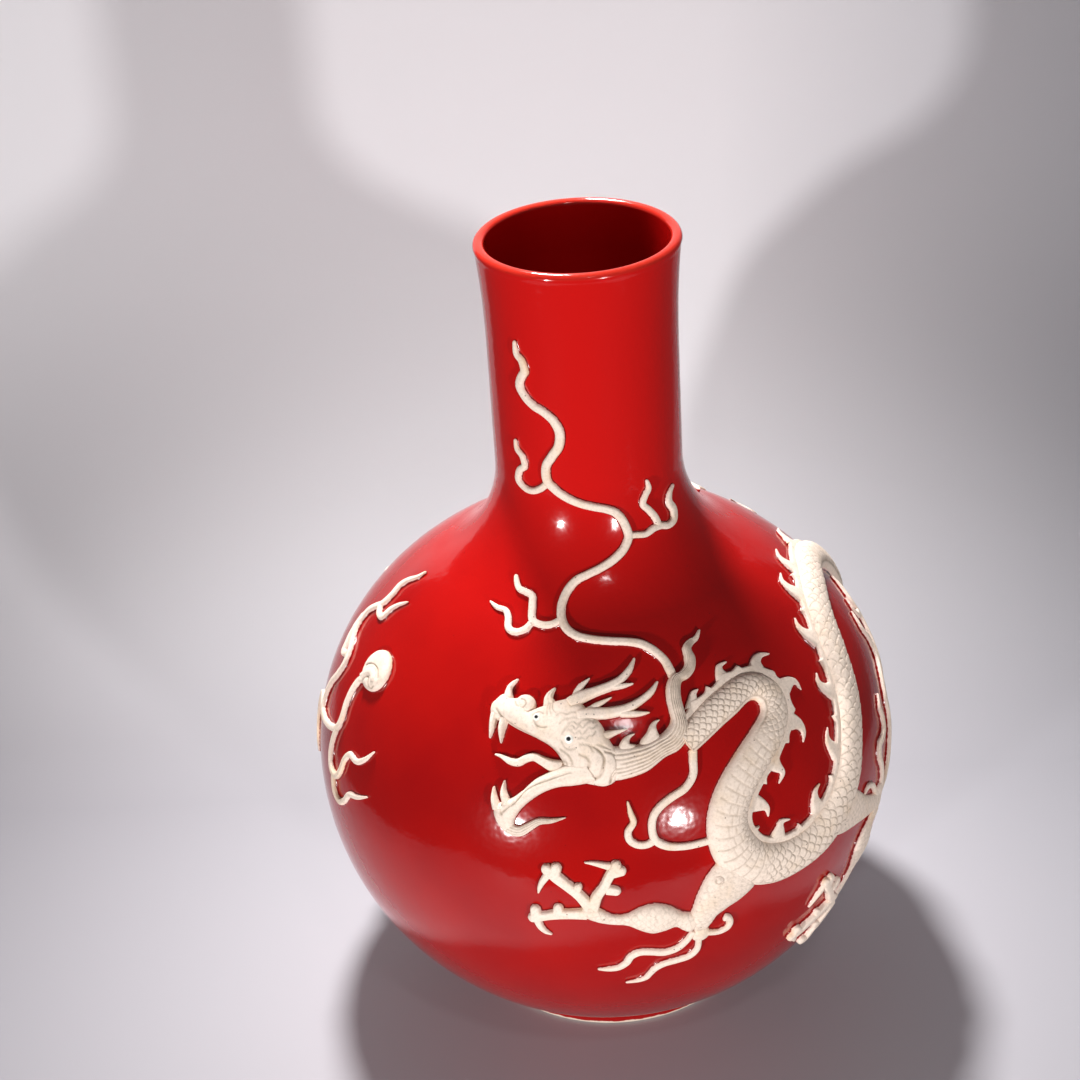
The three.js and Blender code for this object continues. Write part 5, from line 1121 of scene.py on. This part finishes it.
# Vessel
def inner_outline():
    """The inside of the wall from the lip down to the floor, as radius and height."""
    neck_run = RUN[OUTLINE_STEPS]
    found = []
    for k in range(len(RUN) - 1, 0, -6):
        share = min(1, max(0, RUN[k] / neck_run))
        wall = BOWL_WALL + (NECK_WALL - BOWL_WALL) * share
        radius = OUTLINE[k][0] - SLOPE[k][1] * wall
        height = OUTLINE[k][1] + SLOPE[k][0] * wall
        if FOOT_HEIGHT + FLOOR_THICKNESS + DISH_RISE < height < TOTAL_HEIGHT - LIP_FALL:
            found.append((radius, height))
    return found


def turned(name, outline):
    """A closed outline turned about the axis: spun through a full circle and merged."""
    bm = bmesh.new()
    spots = [bm.verts.new((radius * MM, 0, height * MM)) for radius, height in outline]
    edges = [bm.edges.new(pair) for pair in zip(spots[:-1], spots[1:])]
    if outline[0][0] > 0.01:
        edges.append(bm.edges.new((spots[-1], spots[0])))
    bmesh.ops.spin(bm, geom=spots + edges, cent=(0, 0, 0), axis=(0, 0, 1), angle=2 * math.pi, steps=TURNS,
                   use_merge=True, use_duplicate=False)
    bmesh.ops.remove_doubles(bm, verts=bm.verts, dist=1e-6)
    bmesh.ops.recalc_face_normals(bm, faces=bm.faces)
    return meshed(name, bm)


def arc(radius, height, size, first, last, count):
    """Part of a circle in the outline, in degrees from outwards."""
    angles = np.radians(np.linspace(first, last, count))
    return [(radius + size * math.cos(a), height + size * math.sin(a)) for a in angles]


def glazed_body():
    """The globe, the neck and the rounded lip as one glazed wall, hollow down to its floor."""
    outer = [tuple(point) for point in OUTLINE[::3] if point[1] < TOTAL_HEIGHT - LIP_ROUND * 1.15]
    rim = arc(LIP_RADIUS - LIP_ROUND, TOTAL_HEIGHT - LIP_ROUND, LIP_ROUND, 0, 180, 17)
    inner = inner_outline()
    radius, height = inner[-1]
    floor_top = FOOT_HEIGHT + FLOOR_THICKNESS
    dish = [(radius * share, floor_top + (height - floor_top) * share ** 6) for share in FLOOR_SHARES]
    base = FOOT_HEIGHT + SEAM
    under = [(0, base), (BOWL_FOOT_RADIUS * 0.5, base)]
    return turned("glazed_body", [*under, *outer, *rim, *inner, *dish, (0, floor_top)])


def foot():
    """The turned foot ring, glazed outside and bare where it stands."""
    top = FOOT_HEIGHT + 0.3
    within = FOOT_RADIUS - FOOT_WIDTH
    outline = [
        (BOWL_FOOT_RADIUS - 0.2, top), (BOWL_FOOT_RADIUS - 0.5, FOOT_HEIGHT * 0.8),
        (FOOT_RADIUS + 0.1, FOOT_HEIGHT * 0.45),
        *arc(FOOT_RADIUS - FOOT_BEVEL, FOOT_BEVEL, FOOT_BEVEL, 0, -90, 7),
        *arc(within + FOOT_BEVEL, FOOT_BEVEL, FOOT_BEVEL, 270, 180, 7),
        (within - 0.6, FOOT_HEIGHT * 0.6), (BOWL_FOOT_RADIUS - FOOT_WIDTH * 1.3, top),
    ]
    return turned("turned_foot", outline)


# Finishes
class Finish:
    """A material under way: its nodes, its shader and the links between them."""

    def __init__(self, name, roughness):
        self.material = bpy.data.materials.new(name)
        self.material.use_nodes = True
        self.nodes = self.material.node_tree.nodes
        self.shader = self.nodes["Principled BSDF"]
        self.paint("Roughness", roughness)

    def feed(self, socket, value):
        """A socket takes another socket's value, a number, a place or a colour."""
        if isinstance(value, bpy.types.NodeSocket):
            self.material.node_tree.links.new(value, socket)
        elif socket.type == "RGBA":
            socket.default_value = (*value, 1)
        else:
            socket.default_value = value

    def paint(self, name, value):
        self.feed(self.shader.inputs[name], value)

    def node(self, kind, feeds=(), **settings):
        """A node of this kind, with its settings made and its sockets fed."""
        node = self.nodes.new(f"ShaderNode{kind}")
        for key, value in settings.items():
            setattr(node, key, value)
        for socket, value in dict(feeds).items():
            self.feed(node.inputs[socket], value)
        return node

    def place(self):
        """A point in the piece's own coordinates."""
        return self.node("TexCoord").outputs["Object"]

    def along(self, axis):
        return self.node("SeparateXYZ", {0: self.place()}).outputs[axis]

    def attribute(self, name):
        return self.node("Attribute", attribute_name=name).outputs["Fac"]

    def maths(self, operation, first, second):
        return self.node("Math", {0: first, 1: second}, operation=operation).outputs[0]

    def ranged(self, value, low, high, start=0.0, end=1.0):
        feeds = {"Value": value, "From Min": low, "From Max": high, "To Min": start, "To Max": end}
        return self.node("MapRange", feeds).outputs["Result"]

    def clouds(self, size, detail=3.0, rough=0.5):
        """Noise, with its size in metres."""
        feeds = {"Vector": self.place(), "Scale": 1 / size, "Detail": detail, "Roughness": rough}
        return self.node("TexNoise", feeds).outputs["Fac"]

    def dots(self, scale, inner, outer, strength):
        """Small round specks that fade out between two shares of a cell."""
        cells = self.node("TexVoronoi", {"Vector": self.place(), "Scale": scale})
        return self.ranged(cells.outputs["Distance"], inner, outer, strength, 0.0)

    def blended(self, share, first, second):
        """A colour mixed from two, each a colour or a socket."""
        return self.node("Mix", {"Factor": share, 6: first, 7: second}, data_type="RGBA").outputs[2]

    def bumped(self, height, strength, distance, normal=None):
        feeds = {"Height": height, "Strength": strength, "Distance": distance}
        if normal:
            feeds["Normal"] = normal
        return self.node("Bump", feeds).outputs["Normal"]

    def one_sided(self):
        """Its front alone shows, so that a view from behind isn't blocked."""
        clear = self.node("BsdfTransparent").outputs[0]
        back = self.node("NewGeometry").outputs["Backfacing"]
        choice = self.node("MixShader", {0: back, 1: self.shader.outputs[0], 2: clear})
        self.feed(self.nodes["Material Output"].inputs["Surface"], choice.outputs[0])


GLAZE_NECK = (0.52, 0.005, 0.004)
GLAZE = (0.35, 0.003, 0.002)
GLAZE_DEEP = (0.29, 0.002, 0.002)
GLAZE_THIN = (0.55, 0.03, 0.016)
# Painted shade for the glaze inside the neck
GLAZE_BORE_SHADE = (0.3, 0.003, 0.003)
GLAZE_SPECK = (0.16, 0.004, 0.004)
# Glaze crept up the clay's foot, in a deeper red that also stands for painted shade in the crease
CREPT_GLAZE_AND_CREASE_SHADE = (0.22, 0.004, 0.004)
# Where one finish goes over into the next, in metres: heights for the neck, the lip and the wiped foot, and
# distances from the axis for the bore
NECK_FADE = (0.235, 0.31)
LIP_FADE = (0.4192, 0.4218)
BORE_FADE = (0.0425, 0.0455)
WIPE_FADE = (0.0014, 0.0018)


def red_glaze():
    """Glossy red, deep on the globe where it ran down, brighter on the neck, thin on the lip, and darker
    inside the neck as painted shade.
    """
    coat = Finish("red_glaze_coat", 0.12)
    colour = coat.blended(coat.ranged(coat.clouds(0.05, 2), 0.35, 0.7), GLAZE, GLAZE_DEEP)
    height = coat.along("Z")
    neck = coat.ranged(height, *NECK_FADE)
    colour = coat.blended(neck, colour, GLAZE_NECK)
    flat = coat.node("VectorMath", {0: coat.place(), 1: (1, 1, 0)}, operation="MULTIPLY").outputs[0]
    reach = coat.node("VectorMath", {0: flat}, operation="LENGTH").outputs["Value"]
    # Painted shade: the glaze inside the neck's bore is made darker
    inside = coat.maths("MULTIPLY", coat.ranged(reach, *BORE_FADE, 1.0, 0.0), neck)
    colour = coat.blended(inside, colour, GLAZE_BORE_SHADE)
    colour = coat.blended(coat.ranged(height, *LIP_FADE), colour, GLAZE_THIN)
    colour = coat.blended(coat.dots(90, 0.022, 0.034, 0.75), colour, GLAZE_SPECK)
    coat.paint("Base Color", colour)
    ripple = coat.bumped(coat.clouds(0.03, 1), 0.35, 0.0006)
    coat.paint("Normal", coat.bumped(coat.clouds(0.0042, 1), 0.6, 0.00016, ripple))
    return coat.material


CLAY = (0.84, 0.69, 0.58)
CLAY_WARM = (0.80, 0.63, 0.49)
CLAY_PINK = (0.88, 0.64, 0.55)
CLAY_RUST = (0.74, 0.46, 0.2)
CLAY_SPECK = (0.09, 0.06, 0.04)
# A darker tone: the clay's grain, and painted shade in its carved lines
GRAIN_AND_CUT_SHADE = (0.3, 0.22, 0.15)
BARE_CLAY = (0.62, 0.52, 0.42)
SLIP = (0.86, 0.84, 0.78)
SLIP_SHADE = (0.62, 0.58, 0.5)
PUPIL = (0.012, 0.01, 0.012)
PUPIL_RADIUS = 0.00088


def biscuit_clay():
    """Matt cream clay: grain, painted shade in its carved lines, warm patches, dark specks, and glaze crept
    up its edge in a deeper red that is partly painted shade.
    """
    coat = Finish("biscuit_clay", 0.8)
    rise = coat.attribute("rise")
    colour = coat.blended(coat.ranged(coat.clouds(0.012), 0.52, 0.75), CLAY, CLAY_WARM)
    grain = coat.ranged(coat.clouds(0.0014, 4, 0.7), 0.45, 0.75, 0.0, 0.36)
    colour = coat.blended(grain, colour, GRAIN_AND_CUT_SHADE)
    uneven = coat.ranged(coat.clouds(0.004), 0.3, 0.65, 0.35, 1.0)
    # Painted shade: the carved lines are darkened where the cut attribute is set
    colour = coat.blended(coat.maths("MULTIPLY", coat.attribute("cut"), uneven), colour, GRAIN_AND_CUT_SHADE)
    colour = coat.blended(coat.dots(190, 0.05, 0.085, 0.8), colour, CLAY_SPECK)
    ragged = coat.maths("ADD", rise, coat.ranged(coat.clouds(0.0016), 0.3, 0.7, -0.25, 0.25))
    colour = coat.blended(coat.ranged(ragged, 0.9, 1.7, 1.0, 0.0), colour, CLAY_PINK)
    low = coat.ranged(rise, 0.8, 3.4, 1.0, 0.0)
    rust = coat.maths("MULTIPLY", low, coat.ranged(coat.clouds(0.018, 2), 0.56, 0.68))
    colour = coat.blended(coat.maths("MULTIPLY", rust, 0.55), colour, CLAY_RUST)
    # Glaze crept up the clay's foot; its darker red is partly painted shade in the crease
    colour = coat.blended(coat.ranged(ragged, 0.45, 0.75, 1.0, 0.0), colour, CREPT_GLAZE_AND_CREASE_SHADE)
    coat.paint("Base Color", colour)
    coat.paint("Roughness", coat.ranged(ragged, 0.45, 0.8, 0.15, 0.8))
    coat.paint("Normal", coat.bumped(coat.clouds(0.0013, 3, 0.6), 0.6, 0.0002))
    return coat.material


def eye_white(name, middle, radius):
    """White slip with a round black pupil painted where the eye looks out."""
    coat = Finish(name, 0.3)
    apart = coat.node("VectorMath", {0: coat.place(), 1: middle}, operation="DISTANCE").outputs["Value"]
    tone = coat.blended(coat.ranged(coat.clouds(0.0015), 0.4, 0.7, 0.0, 0.25), SLIP, SLIP_SHADE)
    white = coat.ranged(apart, radius * 0.92, radius * 1.06)
    coat.paint("Base Color", coat.blended(white, PUPIL, tone))
    return coat.material


def bare_foot():
    """Glaze on the foot, wiped off to bare clay on the face that the vase stands on."""
    coat = Finish("foot_glaze", 0.1)
    ragged = coat.ranged(coat.clouds(0.004), 0.3, 0.7, -0.0004, 0.0004)
    level = coat.maths("ADD", coat.along("Z"), ragged)
    coat.paint("Base Color", coat.blended(coat.ranged(level, *WIPE_FADE), BARE_CLAY, GLAZE_DEEP))
    coat.paint("Roughness", coat.ranged(level, *WIPE_FADE, 0.8, 0.08))
    return coat.material


def eyeball(name):
    azimuth, climb, size = EYES[name]
    radius = EYE_RADIUS * size * MM
    centre = on_wall(azimuth, climb, CLAY_BED + HEAD_HEIGHT * EYE_LEVELS[name])
    out = on_wall(azimuth, climb, CLAY_BED + 20) - centre
    look = out / np.linalg.norm(out) + np.array(EYE_TURN)
    look /= np.linalg.norm(look)
    bm = bmesh.new()
    bmesh.ops.create_uvsphere(bm, u_segments=40, v_segments=24, radius=radius)
    bmesh.ops.translate(bm, verts=bm.verts, vec=Vector(centre))
    piece = meshed(f"{name}_ball", bm)
    middle = tuple(centre + look * radius)
    piece.data.materials.append(eye_white(f"{name}_slip", middle, PUPIL_RADIUS * size))
    return piece


def settle(piece, slot, *nodes, material=None):
    """The piece rides on the vase, stands for its CAD nodes and takes its finish."""
    if material:
        piece.data.materials.clear()
        piece.data.materials.append(material)
    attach(piece, "root")
    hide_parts(*nodes)


# Camera and light
CAMERA = (0, -1.0634, 0.8535)
PITCH = 29.279
YAW = -1.451
ROLL = -3.735
SWEEP_FRONT = -0.42
SWEEP_BACK = 0.52
SWEEP_BEND = 0.3
SWEEP_TOP = 2.6
SWEEP_WIDTH = 0.96
# Sweep colours: the floor is darker as painted shade, and the right side darker as a painted shadow
SWEEP_FLOOR_SHADE = (0.44, 0.42, 0.45)
SWEEP_WALL = (0.80, 0.77, 0.79)
SWEEP_RIGHT_SHADOW = (0.4, 0.39, 0.42)
# Lamps: place, aim, size, power and spread in degrees
LAMPS = {
    "left_lamp": ((-0.89, -1.33, 0.2), (0, 0, 0.2), 0.09, 17.5, 180),
    "right_lamp": ((0.68, -1.45, 0.25), (0, 0, 0.2), 0.11, 13.5, 180),
    "high_lamp": ((0.2, -1.05, 1.35), (0, 0, 0.2), 0.13, 1.1, 180),
    "back_lamp": ((-0.15, 0.38, 1.2), (0, 0, 0.1), 0.17, 2.5, 56),
}
WORLD_COLOUR = (0.9, 0.9, 0.95)
WORLD_STRENGTH = 0.09


def camera():
    pitch, yaw, roll = (math.radians(angle) for angle in (PITCH, YAW, ROLL))
    ahead = Vector((math.sin(yaw) * math.cos(pitch), math.cos(yaw) * math.cos(pitch), -math.sin(pitch)))
    right = ahead.cross(Vector((0, 0, 1))).normalized()
    up = right.cross(ahead)
    across = right * math.cos(roll) + up * math.sin(roll)
    above = up * math.cos(roll) - right * math.sin(roll)
    data = bpy.data.cameras.new("camera")
    data.lens = 80
    data.sensor_width = 36
    data.clip_start = 0.05
    view = placed("camera", data)
    view.matrix_world = Matrix((
        (across.x, above.x, -ahead.x, CAMERA[0]), (across.y, above.y, -ahead.y, CAMERA[1]),
        (across.z, above.z, -ahead.z, CAMERA[2]), (0, 0, 0, 1)))
    bpy.context.scene.camera = view


def lamp(name, spot, aim, size, power, spread):
    data = bpy.data.lights.new(name, "AREA")
    data.shape = "DISK"
    data.size = size
    data.energy = power
    data.spread = math.radians(spread)
    light = placed(name, data)
    light.location = spot
    light.rotation_euler = (Vector(aim) - Vector(spot)).to_track_quat("-Z", "Y").to_euler()


def pale_sweep():
    """A pale sweep that rises close behind the vase, with painted shade: darker on its floor, and a painted
    shadow towards the right.
    """
    bm = bmesh.new()
    bend = SWEEP_BEND
    outline = [(SWEEP_FRONT, 0.0), (0.0, 0.0), (SWEEP_BACK - bend, 0.0)]
    outline += [(SWEEP_BACK - bend + bend * math.sin(a), bend - bend * math.cos(a))
                for a in np.radians(np.arange(5, 91, 5))]
    outline += [(SWEEP_BACK, SWEEP_TOP)]
    spots = [bm.verts.new((-SWEEP_WIDTH / 2, y, z)) for y, z in outline]
    edges = [bm.edges.new(pair) for pair in zip(spots[:-1], spots[1:])]
    wide = bmesh.ops.extrude_edge_only(bm, edges=edges)["geom"]
    far = [item for item in wide if isinstance(item, bmesh.types.BMVert)]
    bmesh.ops.translate(bm, verts=far, vec=(SWEEP_WIDTH, 0, 0))
    for face in bm.faces:
        face.normal_update()
        if face.normal.z < 0 or face.normal.y > 0:
            face.normal_flip()
    sweep = meshed("sweep", bm)
    paper = Finish("pale_sweep", 0.6)
    # Painted shade: the floor is darker than the wall
    tone = paper.blended(paper.ranged(paper.along("Y"), 0.15, 0.5), SWEEP_FLOOR_SHADE, SWEEP_WALL)
    # Painted shadow: the sweep is darker towards the right
    tone = paper.blended(paper.ranged(paper.along("X"), 0.1, 0.46), tone, SWEEP_RIGHT_SHADOW)
    paper.paint("Base Color", tone)
    paper.one_sided()
    sweep.data.materials.append(paper.material)


def studio():
    """The sweep, two low lamps in front, one high in front and one high behind, in a dim grey world."""
    pale_sweep()
    world = bpy.data.worlds.new("studio")
    world.use_nodes = True
    grey = world.node_tree.nodes["Background"]
    grey.inputs["Color"].default_value = (*WORLD_COLOUR, 1)
    grey.inputs["Strength"].default_value = WORLD_STRENGTH
    bpy.context.scene.world = world
    for name, setting in LAMPS.items():
        lamp(name, *setting)
    bpy.context.scene.view_settings.view_transform = "Standard"


camera()
studio()

clay = biscuit_clay()


def settle_clay(piece, node):
    settle(piece, "biscuit", node, material=clay)


settle(glazed_body(), "red_glaze", "lower_bowl", "upper_bowl", "neck", material=red_glaze())
settle(foot(), "red_glaze", "foot_ring", material=bare_foot())
for stretch in STRETCHES:
    settle_clay(trunk_stretch(stretch), f"{stretch}_stretch")
    settle_clay(crest(stretch), f"{stretch}_crest")
for limb in LEGS:
    settle_clay(leg(limb), limb)
    settle_clay(elbow_flames(limb), f"{limb}_flames")
settle_clay(skull(), "skull")
settle_clay(lower_jaw(), "lower_jaw")
settle_clay(tongue(), "tongue")
for name, routes in (("upper_horn", UPPER_HORN), ("lower_horn", LOWER_HORN), ("ear", [EAR])):
    settle_clay(horn(name, routes), name)
settle_clay(mane(), "mane")
for eye in EYES:
    settle(eyeball(eye), "white_slip", eye)
settle_clay(wisp("neck_wisp", NECK_WISP, WISP_WIDTH, WISP_HEIGHT, NECK_WISP_NUDGE), "neck_wisp")
settle_clay(wisp("cheek_wisp", CHEEK_WISP, WISP_WIDTH, WISP_HEIGHT), "cheek_wisp")
settle_clay(pearl(), "pearl")
for name, routes in (
        ("pearl_flames", PEARL_FLAMES), ("shoulder_flame", SHOULDER_FLAME), ("side_flame", SIDE_FLAME),
        ("loop_flame", LOOP_FLAME), ("back_neck_flame", BACK_NECK_FLAME), ("tail_tuft", TAIL_TUFT)):
    settle_clay(wisp(name, routes), name)
